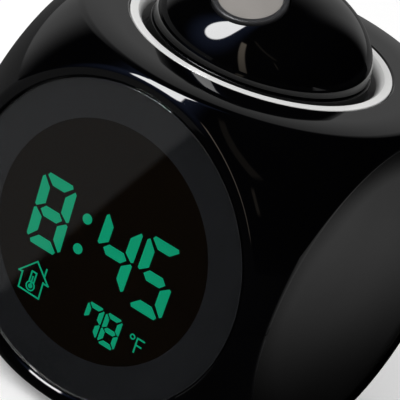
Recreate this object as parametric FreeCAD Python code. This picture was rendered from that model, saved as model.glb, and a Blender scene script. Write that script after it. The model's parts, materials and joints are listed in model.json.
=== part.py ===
"""Projection alarm clock: a glossy die-shaped body with a round display, matte side
discs, a back panel with buttons and a battery door, and a projector dome on top.

Millimetres. X runs to the right of someone facing the display, the display looks along
-Y, and Z is up. The origin is on the surface the clock stands on, under the body's centre.

Pieces are built about the body's centre and moved up onto the feet when they are saved.
A piece on one of the four round faces is built in face coordinates, u to the right, v up
and w outwards from the body's centre, and is then turned onto its face. A piece of the
projector is built along the lens axis, with its zero where that axis leaves the dome.
"""
import FreeCAD, Part
import math
import os

from FreeCAD import Placement, Rotation, Vector

# How far a cut runs past the face that it opens, and how closely an edge is looked up
past = 1.0
tolerance = 1e-4

# Body: a ball cut flat on six sides
half_width = 42.3
half_depth = 42.3
half_height = 40.5
ball_share = 57.2 / 84.6
edge_fillet = 2.6
wall = 2.2
seam_groove_height = 0.24
seam_groove_depth = 0.3
lip_inset = 1.2
lip_height = 1.5
lip_clearance = 0.12
pillar_start = 30.0

# Round faces: a groove is left round each disc, and a ledge in the housing carries it
face_gap = 0.35
face_bevel = 0.3
ledge_width = 1.6
ledge_thickness = 1.8
skirt_clearance = 0.25
skirt_wall = 1.4
hook_reach = 0.9
hook_width = 7.0
hook_thickness = 1.2
hook_clearance = 0.15
hook_count = 4
hook_turn = 45.0

# Display stack, from the outside in
glass_margin = 2.504
glass_recess = 0.3
glass_thickness = 1.0
glass_edge_fillet = 0.2
mask_thickness = 0.2
mask_inset = 0.2
window_radius = 27.2
filter_overlap = 2.0
filter_thickness = 0.5
filter_clearance = 0.1
frame_flange_thickness = 0.8
frame_plate_thickness = 1.0
frame_depth = 5.0
view_margin = 1.0
lcd_width = 43.0
lcd_height = 36.0
lcd_drop = 6.0
lcd_thickness = 2.0
backlight_height = 31.0
backlight_thickness = 3.0
connector_length = 38.0
connector_width = 2.5
board_gap = 1.2
board_thickness = 1.6
main_board_width = 61.0
main_board_height = 40.0
main_board_post_u = 27.5
main_board_post_v = 9.5
board_corner = 3.0

# Signs on the display, in face coordinates
sign_thickness = 0.12
time_height = 16.0
time_width = 7.9
time_stroke = 1.7
time_base = -8.0
time_places = ((-17.6, "8"), (-0.2, "4"), (11.6, "5"))
colon_u = -5.0
colon_v = (3.3, -4.2)
colon_radius = 0.95
degrees_height = 7.4
degrees_width = 4.3
degrees_stroke = 0.85
degrees_base = -21.2
degrees_places = ((1.6, "7"), (6.4, "8"))
degree_ring_u = 13.4
degree_ring_v = -15.0
degree_ring_radius = 0.65
unit_u = 14.9
unit_base = -18.9
unit_height = 3.6
unit_width = 2.0
unit_bar_width = 1.6
icon_stroke = 0.35
segment_gap = 0.22
house_left = -16.9
house_right = -10.0
house_floor = -19.8
house_eaves = -16.0
house_ridge = -11.9
eaves_overhang = 0.9
chimney_width = 1.1
chimney_height = 2.6
chimney_inset = 1.4
thermometer_bulb = 0.95
thermometer_width = 0.95
thermometer_top = -14.6

# Side covers
cover_margin = 1.504
cover_edge_proud = -0.1
cover_crown = 0.5
cover_edge_fillet = 0.4
cover_skirt_depth = 3.6

# Back panel and what it carries
panel_margin = 2.504
panel_recess = 0.8
panel_thickness = 1.8
button_count = 4
button_pitch = 11.0
button_row_v = 22.5
button_radius = 3.4
button_gap = 0.3
button_proud = 0.8
button_flange = 0.9
button_flange_thickness = 1.0
button_rest_gap = 0.1
button_edge_fillet = 0.6
stem_radius = 1.2
stem_gap = 0.1
stem_entry = 1.2
bore_floor = 0.4
switch_size = 6.0
switch_height = 3.5
button_board_gap = 6.7
button_board_margin = 0.2
button_board_low = 17.0
button_board_high = 31.5
button_post_inset = 2.5
button_post_low = 19.2
button_post_high = 29.0

# Battery bay: three cells side by side, lying along X
cell_radius = 5.25
cell_length = 44.5
cell_pitch = 10.7
cell_count = 3
cell_nub_radius = 1.9
cell_nub_height = 0.9
cell_nub_sink = 0.2
cell_edge_fillet = 0.5
bay_centre_v = -1.0
bay_length = 51.0
bay_wall = 1.2
bay_side_gap = 0.2
bay_floor_gap = 0.1
cell_cover_gap = 0.7
contact_thickness = 0.3
contact_width = 8.6
door_overlap = 1.0
door_gap = 0.3
door_thickness = 1.6
door_corner = 2.0
tab_width = 6.0
tab_spacing = 26.0
tab_reach = 1.6
tab_thickness = 1.2
tab_gap = 0.2
tab_slot_gap = 0.5
tab_slot_depth = 4.6
grip_radius = 5.0
grip_depth = 0.6
spring_wire = 0.5
spring_large = 3.4
spring_small = 2.2
spring_turns = 4

# Top well and dome
well_outer = 29.9
well_rim = 1.8
well_flange_thickness = 1.2
well_bore = 26.7
well_lip_depth = 2.1
well_lip_bulge = 0.49
well_lip_drop = 0.84
well_wall = 2.0
well_floor_z = 26.0
well_floor_thickness = 1.5
well_clearance = 0.2
rim_groove = 0.25
boss_hole = 20.0
boss_clearance = 0.1
boss_wall = 1.5
boss_hook_reach = 1.6
boss_hook_count = 3
boss_hook_turn = 30.0
stop_gap = 0.1
press_travel = 2.0
carrier_gap = 0.4
carrier_z = 33.5
carrier_thickness = 1.5
hub_radius = 9.0
hub_wall = 1.6
hub_clearance = 0.06
swivel_gap = 0.2
washer_gap = 0.15
washer_radius = 11.5
washer_thickness = 1.0
swivel_screw_length = 11.2
post_radius = 2.5
turntable_thickness = 1.8
collar_radius = 25.2
collar_wall = 1.8
collar_top = 40.0
dome_radius = 24.8
dome_base_z = 40.45
dome_height = 16.65
dome_wall = 1.8
dome_lip_depth = 2.8
dome_lip_clearance = 0.1
dome_lip_overlap = 1.2
return_wire = 0.9
return_turns = 4
dome_board_radius = 28.0
dome_board_drop = 6.5
dome_board_post_radius = 25.6
dome_board_post_count = 3
dome_board_post_turn = -90.0
press_switch_size = 7.0
press_switch_height = 4.0
plunger_radius = 1.6
plunger_clearance = 0.1

# Projector in the dome, along the lens axis
lens_reach = 12.6
lens_tilt = 24.0
barrel_bore = 7.1
barrel_wall = 1.3
barrel_top = -3.5
barrel_end = -13.5
barrel_plate_top = -10.8
barrel_plate_thickness = 1.2
part_gap = 0.3
focus_top = -0.6
focus_chamfer = 0.45
cell_tube_wall = 0.4
cell_tube_top = -1.2
cell_tube_end = -7.5
lens_seat = -3.0
lens_edge = 1.2
lens_crown = 1.5
lens_fit = 0.05
cell_ledge = 0.8
slide_size = 9.0
slide_thickness = 1.4
condenser_radius = 3.5
led_size = 3.5
led_base_height = 0.6
led_height = 1.0
led_cap_radius = 1.2
led_board_thickness = 1.2
leg_width = 12.0
leg_depth = 3.6
leg_front = 18.2
leg_height = 8.0

# Base: speaker, screws and feet
screw_inset_x = 18.3
screw_inset_y = 19.3
screw_boss_radius = 4.0
screw_head_radius = 2.3
screw_head_height = 1.6
screw_radius = 1.3
screw_length = 14.0
screw_head_z = -8.0
screw_head_gap = 0.25
screw_clearance = 0.2
thread_clearance = 0.02
foot_radius = 4.6
foot_height = 2.4
foot_fillet = 0.6
foot_plug_length = 4.0
foot_plug_clearance = 0.05
speaker_radius = 14.0
speaker_rim = 1.8
speaker_rim_thickness = 1.2
speaker_can = 0.8
speaker_height = 4.3
speaker_plate = 0.8
magnet_radius = 7.0
magnet_height = 3.0
cone_thickness = 0.3
cone_top_radius = 4.0
cone_depth = 1.6
cone_edge = 1.0
cone_fit = 0.1
speaker_clearance = 0.2
speaker_guard_wall = 1.2
speaker_guard_height = 3.0
grille_hole = 0.8
grille_pitch = 2.6
grille_reach = 10.5
sensor_inset = 12.3
sensor_radius = 1.3
sensor_height = 4.0
sensor_clip_wall = 1.0
sensor_clip_size = 5.2
sensor_vents = 3
sensor_vent_width = 0.9

# The cross in a screw's head, as shares of the head's radius and height
cross_arm_share = 0.75
cross_half_share = 0.15
cross_depth_share = 0.5

# Small screws that hold the boards
small_head_radius = 1.9
small_head_height = 1.2
small_screw_radius = 0.95
small_screw_grip = 3.2
small_boss_radius = 2.2
small_hole_clearance = 0.1
small_hole_spare = 0.5

# Parts on the main board
chip_size = 10.0
chip_height = 1.5
chip_leg_pitch = 1.0
chip_leg_count = 8
chip_leg_width = 0.4
chip_leg_reach = 1.0
chip_leg_thickness = 0.3
capacitor_radius = 2.5
capacitor_height = 5.0
capacitor_places = ((-14.0, 6.0), (-14.0, 0.0))
crystal_size = (8.0, 3.0, 2.5)
crystal_place = (-18.0, -14.0)
socket_size = (7.0, 4.5, 4.0)
socket_wall = 0.8
socket_floor = 1.0
socket_places = ((16.0, 8.0), (16.0, -1.0), (16.0, -10.0))

# Worked-out places
centre_z = foot_height + half_height
ball_radius = ball_share * (half_width + half_depth)
front_round = math.sqrt(ball_radius ** 2 - half_depth ** 2)
side_round = math.sqrt(ball_radius ** 2 - half_width ** 2)
glass_radius = front_round - glass_margin
panel_radius = front_round - panel_margin
cover_radius = side_round - cover_margin
button_board_width = bay_length + 2 * (bay_wall - button_board_margin)
button_post_u = 0.5 * button_board_width - button_post_inset
button_board_posts = ((-button_post_u, button_post_low), (button_post_u, button_post_low),
                      (0.0, button_post_high))
screw_x = half_width - screw_inset_x
screw_y = half_depth - screw_inset_y
sensor_x = sensor_inset - half_width
glass_w = half_depth - glass_recess
glass_back_w = glass_w - glass_thickness
mask_back_w = glass_back_w - mask_thickness
front_ledge_w = mask_back_w - frame_flange_thickness
frame_plate_w = front_ledge_w - frame_plate_thickness
lcd_back_w = frame_plate_w - lcd_thickness
backlight_back_w = lcd_back_w - backlight_thickness
main_board_w = backlight_back_w - board_gap
panel_w = half_depth - panel_recess
back_ledge_w = panel_w - panel_thickness
cover_edge_w = half_width + cover_edge_proud
side_ledge_w = half_width - wall - 0.5 * cover_edge_fillet
front_skirt = glass_radius - ledge_width - skirt_clearance
panel_skirt = panel_radius - ledge_width - skirt_clearance
cover_skirt = cover_radius - ledge_width - skirt_clearance
lcd_low = -0.5 * lcd_height - lcd_drop
lcd_high = 0.5 * lcd_height - lcd_drop
bay_half_v = 0.5 * (cell_pitch * (cell_count - 1)) + cell_radius + bay_side_gap
bay_half_u = 0.5 * bay_length
door_half_u = bay_half_u + door_overlap
door_low = bay_centre_v - bay_half_v - door_overlap
door_high = bay_centre_v + bay_half_v + door_overlap
door_back_w = panel_w - door_thickness
door_edge_radius = 0.5 * door_thickness
cell_w = back_ledge_w - cell_cover_gap - cell_radius
bay_floor_w = cell_w - cell_radius - bay_floor_gap
button_board_w = back_ledge_w - button_board_gap
switch_top_w = button_board_w + switch_height
well_flange_z = half_height - well_flange_thickness
well_tube_outer = well_bore + well_wall
well_under_z = well_floor_z - well_floor_thickness
carrier_top_z = carrier_z + carrier_thickness
turntable_z = carrier_top_z + swivel_gap
turntable_top_z = turntable_z + turntable_thickness
washer_z = turntable_top_z + washer_gap
washer_top_z = washer_z + washer_thickness
dome_board_z = well_under_z - dome_board_drop
press_switch_z = dome_board_z + press_switch_height
post_end_z = press_switch_z + press_travel + stop_gap
floor_z = -half_height + wall
speaker_can_z = floor_z + speaker_rim_thickness
speaker_top_z = floor_z + speaker_height
lens_drop = dome_height * math.sqrt(1.0 - (lens_reach / dome_radius) ** 2)
lens_point = Vector(0, -lens_reach, dome_base_z + lens_drop)
screw_places = [(x, y) for x in (-screw_x, screw_x) for y in (-screw_y, screw_y)]
focus_outer = barrel_bore + barrel_wall
focus_bottom = barrel_top + part_gap
cell_outer = barrel_bore - part_gap
cell_inner = cell_outer - cell_tube_wall
button_places = [button_pitch * (i - 0.5 * (button_count - 1)) for i in range(button_count)]

FRONT, RIGHT, BACK, LEFT = 0, 90, 180, -90


def tube(inner, outer, low, high, u=0.0, v=0.0):
    """A ring of two radii between two heights."""
    solid = disc(outer, low, high, u, v)
    return solid.cut(disc(inner, low - past, high + past, u, v))


def disc(radius, low, high, u=0.0, v=0.0):
    """A cylinder between two heights."""
    return Part.makeCylinder(radius, high - low, Vector(u, v, low))


def block(u0, u1, v0, v1, w0, w1):
    """A box between opposite corners."""
    return Part.makeBox(u1 - u0, v1 - v0, w1 - w0, Vector(u0, v0, w0))


def rounded_block(u0, u1, v0, v1, w0, w1, radius):
    """A box with its four edges along w rounded."""
    solid = block(u0, u1, v0, v1, w0, w1)
    return solid.makeFillet(radius, upright_edges(solid, v0))


def upright_edges(solid, lowest):
    """The edges along w of a box that lie at one height or above it."""
    edges = [e for e in solid.Edges if e.BoundBox.ZLength > e.BoundBox.XLength + e.BoundBox.YLength]
    return [e for e in edges if e.BoundBox.YMin > lowest - tolerance]


def fused(solids):
    """One clean solid out of several that touch."""
    return solids[0].fuse(solids[1:]).removeSplitter()


def turned(profile):
    """The solid that a closed profile in the XZ plane sweeps about Z."""
    return Part.Face(profile).revolve(Vector(0, 0, 0), Vector(0, 0, 1), 360)


def polygon(points):
    """A closed wire through (radius, height) points in the XZ plane."""
    corners = [Vector(r, 0, z) for r, z in points]
    return Part.makePolygon(corners + corners[:1])


def on_face(solid, turn):
    """Turns a piece from face coordinates onto one of the four round faces."""
    upright = Placement(Vector(0, 0, 0), Rotation(Vector(1, 0, 0), 90))
    about = Placement(Vector(0, 0, 0), Rotation(Vector(0, 0, 1), turn))
    placed = solid.copy()
    placed.Placement = about.multiply(upright).multiply(placed.Placement)
    return placed


def on_lens_axis(solid):
    """Moves a piece built along Z onto the lens axis, zero at the dome's surface."""
    axis = Placement(lens_point, Rotation(Vector(1, 0, 0), lens_tilt))
    placed = solid.copy()
    placed.Placement = axis.multiply(placed.Placement)
    return placed


def save(node, *solids):
    """Writes one node, with the body's centre raised onto the feet."""
    shape = solids[0] if len(solids) == 1 else Part.makeCompound(list(solids))
    shape = shape.copy()
    shape.translate(Vector(0, 0, centre_z))
    shape.exportStep("parts/" + node + ".step")


def edges_at(solid, height, radius):
    """The circular edges of one radius that lie at one height."""
    found = []
    for edge in solid.Edges:
        if edge.Degenerated:
            continue
        curve = edge.Curve
        round_edge = isinstance(curve, Part.Circle) and abs(curve.Radius - radius) < tolerance
        if round_edge and abs(edge.BoundBox.ZMin - height) < tolerance and edge.BoundBox.ZLength < tolerance:
            found.append(edge)
    return found


def smooth_arcs(start, start_way, end, end_way):
    """Two arcs that join two points and run on from each other without a kink."""
    gap, ways = end - start, start_way + end_way
    spread = 2 * (1 - start_way.dot(end_way))
    reach = (math.sqrt(gap.dot(ways) ** 2 + spread * gap.dot(gap)) - gap.dot(ways)) / spread
    first, second = start + start_way * reach, end - end_way * reach
    joint = (first + second) * 0.5
    return [arc_in_corner(start, first, joint), arc_in_corner(joint, second, end)]


def arc_in_corner(start, corner, end):
    """The arc that touches both sides of a corner at its two ends."""
    middle = (start + end) * 0.5
    half = math.acos(min(1.0, (end - start).Length / (2 * (corner - start).Length)))
    bulge = middle + (corner - middle) * (math.tan(0.5 * half) / math.tan(half))
    return Part.Arc(start, bulge, end).toShape()


def coil(radius_low, radius_high, low, high, turns, wire):
    """A spring: one unbroken wire of half-turn pairs of arcs between two heights."""
    steps = 2 * turns
    rise, spread = high - low - wire, radius_high - radius_low

    def place(step):
        share, angle = step / steps, math.pi * step
        radius = radius_low + spread * share
        turn = math.pi * steps * radius
        point = Vector(radius * math.cos(angle), radius * math.sin(angle), low + 0.5 * wire + rise * share)
        way = Vector(spread * math.cos(angle) - turn * math.sin(angle),
                     spread * math.sin(angle) + turn * math.cos(angle), rise)
        return point, way.normalize()

    arcs = []
    for step in range(steps):
        (start, start_way), (end, end_way) = place(step), place(step + 1)
        arcs += smooth_arcs(start, start_way, end, end_way)
    point, way = place(0)
    section = Part.Circle(point, way, 0.5 * wire).toShape()
    return Part.Wire(arcs).makePipeShell([Part.Wire([section])], True, False)


def body_form(inset):
    """The ball cut flat on six sides, drawn in by one distance all round."""
    ball = Part.makeSphere(ball_radius - inset)
    x, y, z = half_width - inset, half_depth - inset, half_height - inset
    return ball.common(block(-x, x, -y, y, -z, z))


def outer_body():
    """The body with its six round edges softened."""
    form = body_form(0)
    return form.makeFillet(edge_fillet, form.Edges)


def face_opening(disc_radius, ledge_w, face_w):
    """What is cut away for a disc: its seat and the bevel round the seat's mouth."""
    opening = disc_radius + face_gap
    foot = Vector(0, 0, face_w - face_bevel)
    mouth = Part.makeCone(opening, opening + 2 * face_bevel, 2 * face_bevel, foot)
    seat = disc(opening, ledge_w, face_w + wall)
    return fused([seat, mouth])


def face_ledge(disc_radius, ledge_w, face_w):
    """The inner ring that a disc is seated on, before it is trimmed to the body."""
    inner, outer = disc_radius - ledge_width, disc_radius + 4 * wall
    return tube(inner, outer, ledge_w - ledge_thickness, face_w - 0.5 * wall)


def faces():
    """Turn, disc radius, ledge place and face place of the four round faces."""
    return (
        (FRONT, glass_radius, front_ledge_w, half_depth),
        (RIGHT, cover_radius, side_ledge_w, half_width),
        (BACK, panel_radius, back_ledge_w, half_depth),
        (LEFT, cover_radius, side_ledge_w, half_width),
    )


def housing_shell():
    """Both halves of the housing in one, before they are parted and bored."""
    shell = outer_body().cut(body_form(wall))
    limit = body_form(0.5 * wall)
    for turn, radius, ledge_w, face_w in faces():
        ledge = on_face(face_ledge(radius, ledge_w, face_w), turn).common(limit)
        shell = shell.fuse(ledge)
    for turn, radius, ledge_w, face_w in faces():
        shell = shell.cut(on_face(face_opening(radius, ledge_w, face_w), turn))
    reach = ball_radius
    seam = block(-reach, reach, -reach, reach, -0.5 * seam_groove_height, 0.5 * seam_groove_height)
    return shell.cut(seam.cut(body_form(seam_groove_depth)))


def lip_zone(outer_inset, inner_inset, height):
    """Where the two halves overlap: inside the four corner pillars, above the seam."""
    ring = body_form(outer_inset).cut(body_form(inner_inset))
    reach = ball_radius
    corners = block(-reach, reach, -reach, reach, 0, height)
    corners = corners.cut(block(-pillar_start, pillar_start, -reach, reach, 0, height))
    corners = corners.cut(block(-reach, reach, -pillar_start, pillar_start, 0, height))
    return ring.common(corners)


def grille_places():
    """Hole centres of the speaker grille, in a hexagonal pattern."""
    rows = int(grille_reach / (grille_pitch * math.sqrt(0.75)))
    places = []
    for row in range(-rows, rows + 1):
        y = row * grille_pitch * math.sqrt(0.75)
        shift = 0.5 * grille_pitch if row % 2 else 0.0
        count = int(grille_reach / grille_pitch) + 1
        xs = [shift + grille_pitch * i for i in range(-count, count + 1)]
        places += [(x, y) for x in xs if math.hypot(x, y) <= grille_reach]
    return places


def lower_housing(shell):
    """The lower half with its screw bosses, speaker guard, grille and sensor clip."""
    reach = ball_radius
    half = shell.common(block(-reach, reach, -reach, reach, -reach, 0))
    lip = lip_zone(lip_inset + lip_clearance, wall, lip_height)
    for turn, radius, ledge_w, face_w in faces():
        lip = lip.cut(on_face(face_opening(radius, ledge_w, face_w), turn))
    half = half.fuse(lip)
    inside = body_form(0.5 * wall)
    bosses = [disc(screw_boss_radius, -half_height, 0, x, y).common(inside) for x, y in screw_places]
    guard_inner = speaker_radius + speaker_clearance
    guard = tube(guard_inner, guard_inner + speaker_guard_wall,
                 floor_z - 0.5 * wall, floor_z + speaker_guard_height)
    half = fused([half] + bosses + [guard, sensor_clip()])
    head_bore = screw_head_radius + screw_head_gap
    for x, y in screw_places:
        half = half.cut(disc(head_bore, -half_height - past, screw_head_z, x, y))
        half = half.cut(disc(screw_radius + screw_clearance, screw_head_z - past, past, x, y))
    holes = [disc(grille_hole, -half_height - past, floor_z + past, x, y) for x, y in grille_places()]
    half = half.cut(Part.makeCompound(holes + sensor_vent_slots()))
    return half


def sensor_clip():
    """The little open-topped pocket that holds the temperature sensor."""
    size = 0.5 * sensor_clip_size
    top = floor_z + sensor_height
    outer = block(sensor_x - size, sensor_x + size, -size, size, floor_z - 0.5 * wall, top)
    inner = size - sensor_clip_wall
    room = block(sensor_x - inner, sensor_x + inner, -inner, inner, floor_z, top + past)
    return outer.cut(room)


def sensor_vent_slots():
    """Slots in the floor that let room air reach the temperature sensor."""
    slots = []
    half_length = 0.5 * sensor_clip_size - sensor_clip_wall
    pitch = 2 * half_length / sensor_vents
    for i in range(sensor_vents):
        x = sensor_x + pitch * (i - 0.5 * (sensor_vents - 1)) - 0.5 * sensor_vent_width
        slots.append(block(x, x + sensor_vent_width, -half_length, half_length,
                           -half_height - past, floor_z + past))
    return slots


def upper_housing(shell):
    """The upper half with the round seat of the top well and the screw bosses."""
    reach = ball_radius
    half = shell.common(block(-reach, reach, -reach, reach, 0, reach))
    hole = disc(well_tube_outer + well_clearance, well_flange_z - 2 * wall, half_height + past)
    seat = disc(well_outer + rim_groove, well_flange_z, half_height + past)
    half = half.cut(hole.fuse(seat))
    pilot, top = screw_radius + thread_clearance, half_height - 0.75 * wall
    bosses = [tube(pilot, screw_boss_radius, 0, top, x, y) for x, y in screw_places]
    half = half.fuse(bosses)
    return half.cut(lip_zone(lip_inset, wall + lip_clearance, lip_height + lip_clearance))


def snap_hooks(skirt_radius, ledge_w):
    """Hooks on a skirt that catch behind the housing's ledge."""
    top = ledge_w - ledge_thickness - hook_clearance
    half = 0.5 * hook_width
    hook = block(skirt_radius - skirt_wall, skirt_radius + hook_reach, -half, half, top - hook_thickness, top)
    hooks = []
    for i in range(hook_count):
        one = hook.copy()
        one.rotate(Vector(0, 0, 0), Vector(0, 0, 1), hook_turn + 360.0 / hook_count * i)
        hooks.append(one)
    return hooks


def crowned_disc(radius, low, edge, crown):
    """A disc whose outer face rises to a low crown in the middle."""
    bulge = (radius ** 2 + crown ** 2) / (2 * crown)
    ball = Part.makeSphere(bulge, Vector(0, 0, edge + crown - bulge))
    return disc(radius, low, edge + crown + past).common(ball)


def side_cover(turn):
    """A matte disc with a skirt that snaps into the side of the housing."""
    face = crowned_disc(cover_radius, side_ledge_w, cover_edge_w, cover_crown)
    face = face.makeFillet(cover_edge_fillet, edges_at(face, cover_edge_w, cover_radius))
    skirt = tube(cover_skirt - skirt_wall, cover_skirt, side_ledge_w - cover_skirt_depth, side_ledge_w)
    solid = fused([face, skirt] + snap_hooks(cover_skirt, side_ledge_w))
    return on_face(solid, turn)


def front_glass():
    """The flat round window over the whole display."""
    solid = disc(glass_radius, glass_back_w, glass_w)
    return on_face(solid.makeFillet(glass_edge_fillet, edges_at(solid, glass_w, glass_radius)), FRONT)


def display_mask():
    """The dark printed ring behind the glass that frames the round window."""
    return on_face(tube(window_radius, glass_radius - mask_inset, mask_back_w, glass_back_w), FRONT)


def smoked_filter():
    """The dark film over the display, seated in the front frame."""
    return on_face(disc(window_radius + filter_overlap, mask_back_w - filter_thickness, mask_back_w), FRONT)


def post_places():
    """Where the main board is screwed to the front frame."""
    return [(u, v - lcd_drop) for u in (-main_board_post_u, main_board_post_u)
            for v in (-main_board_post_v, main_board_post_v)]


def front_frame():
    """The carrier of glass, filter and display, snapped into the housing."""
    flange = disc(glass_radius, front_ledge_w, mask_back_w)
    plate = disc(front_skirt, frame_plate_w, front_ledge_w)
    skirt = tube(front_skirt - skirt_wall, front_skirt, front_ledge_w - frame_depth, frame_plate_w)
    posts = [disc(small_boss_radius, main_board_w, frame_plate_w, u, v) for u, v in post_places()]
    solid = fused([flange, plate, skirt] + posts + snap_hooks(front_skirt, front_ledge_w))
    recess = window_radius + filter_overlap + filter_clearance
    solid = solid.cut(disc(recess, mask_back_w - filter_thickness, mask_back_w + past))
    half = 0.5 * lcd_width - view_margin
    low, high = lcd_low + view_margin, lcd_high - view_margin
    solid = solid.cut(block(-half, half, low, high, frame_plate_w - past, mask_back_w))
    for u, v in post_places():
        solid = solid.cut(small_screw_hole(u, v, main_board_w))
    return on_face(solid, FRONT)


def lcd_panel():
    """The liquid-crystal glass, against the back of the front frame."""
    half = 0.5 * lcd_width
    return on_face(block(-half, half, lcd_low, lcd_high, lcd_back_w, frame_plate_w), FRONT)


def backlight():
    """The light guide behind the display glass."""
    half = 0.5 * lcd_width
    solid = block(-half, half, lcd_high - backlight_height, lcd_high, backlight_back_w, lcd_back_w)
    return on_face(solid, FRONT)


def display_connector():
    """The rubber strip that joins the display glass to the main board."""
    half = 0.5 * connector_length
    low = lcd_low + 0.5 * (lcd_height - backlight_height - connector_width)
    return on_face(block(-half, half, low, low + connector_width, main_board_w, lcd_back_w), FRONT)


def main_board():
    """The main circuit board, screwed to the posts of the front frame."""
    u, v = 0.5 * main_board_width, 0.5 * main_board_height
    low, high = main_board_w - board_thickness, main_board_w
    solid = rounded_block(-u, u, -v - lcd_drop, v - lcd_drop, low, high, board_corner)
    for u, v in post_places():
        solid = solid.cut(disc(small_screw_radius + small_hole_clearance, low - past, high + past, u, v))
    return on_face(solid, FRONT)


def chip():
    """The clock's processor: a flat square body with legs on four sides."""
    top = main_board_w - board_thickness
    half = 0.5 * chip_size
    body = block(-half, half, -half - lcd_drop, half - lcd_drop, top - chip_height, top - chip_leg_thickness)
    legs = []
    for side in range(4):
        for i in range(chip_leg_count):
            u = chip_leg_pitch * (i - 0.5 * (chip_leg_count - 1)) - 0.5 * chip_leg_width
            leg = block(u, u + chip_leg_width, half - chip_leg_reach, half + chip_leg_reach,
                        top - chip_leg_thickness, top)
            leg.rotate(Vector(0, 0, 0), Vector(0, 0, 1), 90 * side)
            leg.translate(Vector(0, -lcd_drop, 0))
            legs.append(leg)
    return on_face(fused([body] + legs), FRONT)


def board_parts():
    """Capacitors, crystal and wire sockets on the back of the main board."""
    top = main_board_w - board_thickness
    parts = [disc(capacitor_radius, top - capacitor_height, top, u, v) for u, v in capacitor_places]
    parts.append(standing_block(crystal_size, crystal_place, top))
    parts += [wire_socket(place, top) for place in socket_places]
    return [on_face(part, FRONT) for part in parts]


def standing_block(size, place, top):
    """A box of one size on the board's back face."""
    (length, width, height), (u, v) = size, place
    return block(u - 0.5 * length, u + 0.5 * length, v - 0.5 * width, v + 0.5 * width, top - height, top)


def wire_socket(place, top):
    """A socket with an open pocket for its plug."""
    length, width, height = socket_size
    pocket = (length - 2 * socket_wall, width - 2 * socket_wall, height)
    return standing_block(socket_size, place, top).cut(standing_block(pocket, place, top - socket_floor))


def small_screw_hole(u, v, face_w):
    """A pilot hole that goes outwards from a post's end."""
    end = face_w + small_screw_grip + small_hole_spare
    return disc(small_screw_radius + thread_clearance, face_w - past, end, u, v)


def small_screw(u, v, under_head_w):
    """A board screw whose head lies inwards of the board and whose thread points outwards."""
    head = disc(small_head_radius, under_head_w - small_head_height, under_head_w, u, v)
    shank = disc(small_screw_radius, under_head_w, under_head_w + board_thickness + small_screw_grip, u, v)
    face_w = under_head_w - small_head_height
    return crossed(fused([head, shank]), u, v, face_w, small_head_radius, small_head_height)


def board_screws():
    """Every screw that holds a board: main, button and dome boards."""
    main, buttons, dome = main_board_w, button_board_w, dome_board_z
    screws = [on_face(small_screw(u, v, main - board_thickness), FRONT) for u, v in post_places()]
    screws += [on_face(small_screw(u, v, buttons - board_thickness), BACK) for u, v in button_board_posts]
    return screws + [small_screw(x, y, dome - board_thickness) for x, y in dome_board_posts()]


def segment(start, end, stroke):
    """One bar of a digit: a flat hexagon with pointed ends."""
    (u0, v0), (u1, v1) = start, end
    length = math.hypot(u1 - u0, v1 - v0)
    along = ((u1 - u0) / length, (v1 - v0) / length)
    across = (-along[1], along[0])
    half = 0.5 * stroke
    outline = ((segment_gap, 0), (half + segment_gap, half), (length - half - segment_gap, half),
               (length - segment_gap, 0), (length - half - segment_gap, -half), (half + segment_gap, -half))
    corners = [Vector(u0 + a * along[0] + b * across[0], v0 + a * along[1] + b * across[1], mask_back_w)
               for a, b in outline]
    face = Part.Face(Part.makePolygon(corners + corners[:1]))
    return face.extrude(Vector(0, 0, sign_thickness))


def digit(character, left, base, width, height, stroke):
    """The lit bars of one seven-bar digit."""
    inset = 0.5 * stroke
    u0, u1 = left + inset, left + width - inset
    v0, v1, v2 = base + inset, base + 0.5 * height, base + height - inset
    bars = {
        "a": ((u0, v2), (u1, v2)), "b": ((u1, v1), (u1, v2)), "c": ((u1, v0), (u1, v1)),
        "d": ((u0, v0), (u1, v0)), "e": ((u0, v0), (u0, v1)), "f": ((u0, v1), (u0, v2)),
        "g": ((u0, v1), (u1, v1)),
    }
    lit = {"4": "bcfg", "5": "acdfg", "7": "abcf", "8": "abcdefg"}
    return [segment(*bars[name], stroke) for name in lit[character]]


def stroke_line(points, width, closed=False):
    """A thin flat line through points, as one solid."""
    ends = points[1:] + points[:1] if closed else points[1:]
    pieces = []
    for (u0, v0), (u1, v1) in zip(points, ends):
        length = math.hypot(u1 - u0, v1 - v0)
        bar = block(0, length, -0.5 * width, 0.5 * width, mask_back_w, mask_back_w + sign_thickness)
        bar.rotate(Vector(0, 0, 0), Vector(0, 0, 1), math.degrees(math.atan2(v1 - v0, u1 - u0)))
        bar.translate(Vector(u0, v0, 0))
        pieces.append(bar)
        pieces.append(disc(0.5 * width, mask_back_w, mask_back_w + sign_thickness, u0, v0))
    (u, v) = points[0] if closed else points[-1]
    pieces.append(disc(0.5 * width, mask_back_w, mask_back_w + sign_thickness, u, v))
    return fused(pieces)


def house_sign():
    """A little house with a chimney, the sign for the indoor temperature."""
    middle = 0.5 * (house_left + house_right)
    walls = [(house_left, house_eaves), (house_left, house_floor), (house_right, house_floor),
             (house_right, house_eaves)]
    slope = (house_ridge - house_eaves) / (middle - house_left)
    low = house_eaves - slope * eaves_overhang
    roof = [(house_left - eaves_overhang, low), (middle, house_ridge), (house_right + eaves_overhang, low)]
    outer = house_right - chimney_inset
    inner = outer - chimney_width
    foot = house_eaves + slope * (house_right - inner)
    side = house_eaves + slope * (house_right - outer)
    chimney = [(inner, foot), (inner, side + chimney_height), (outer, side + chimney_height), (outer, side)]
    return fused([stroke_line(points, icon_stroke) for points in (walls, roof, chimney)])


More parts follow.
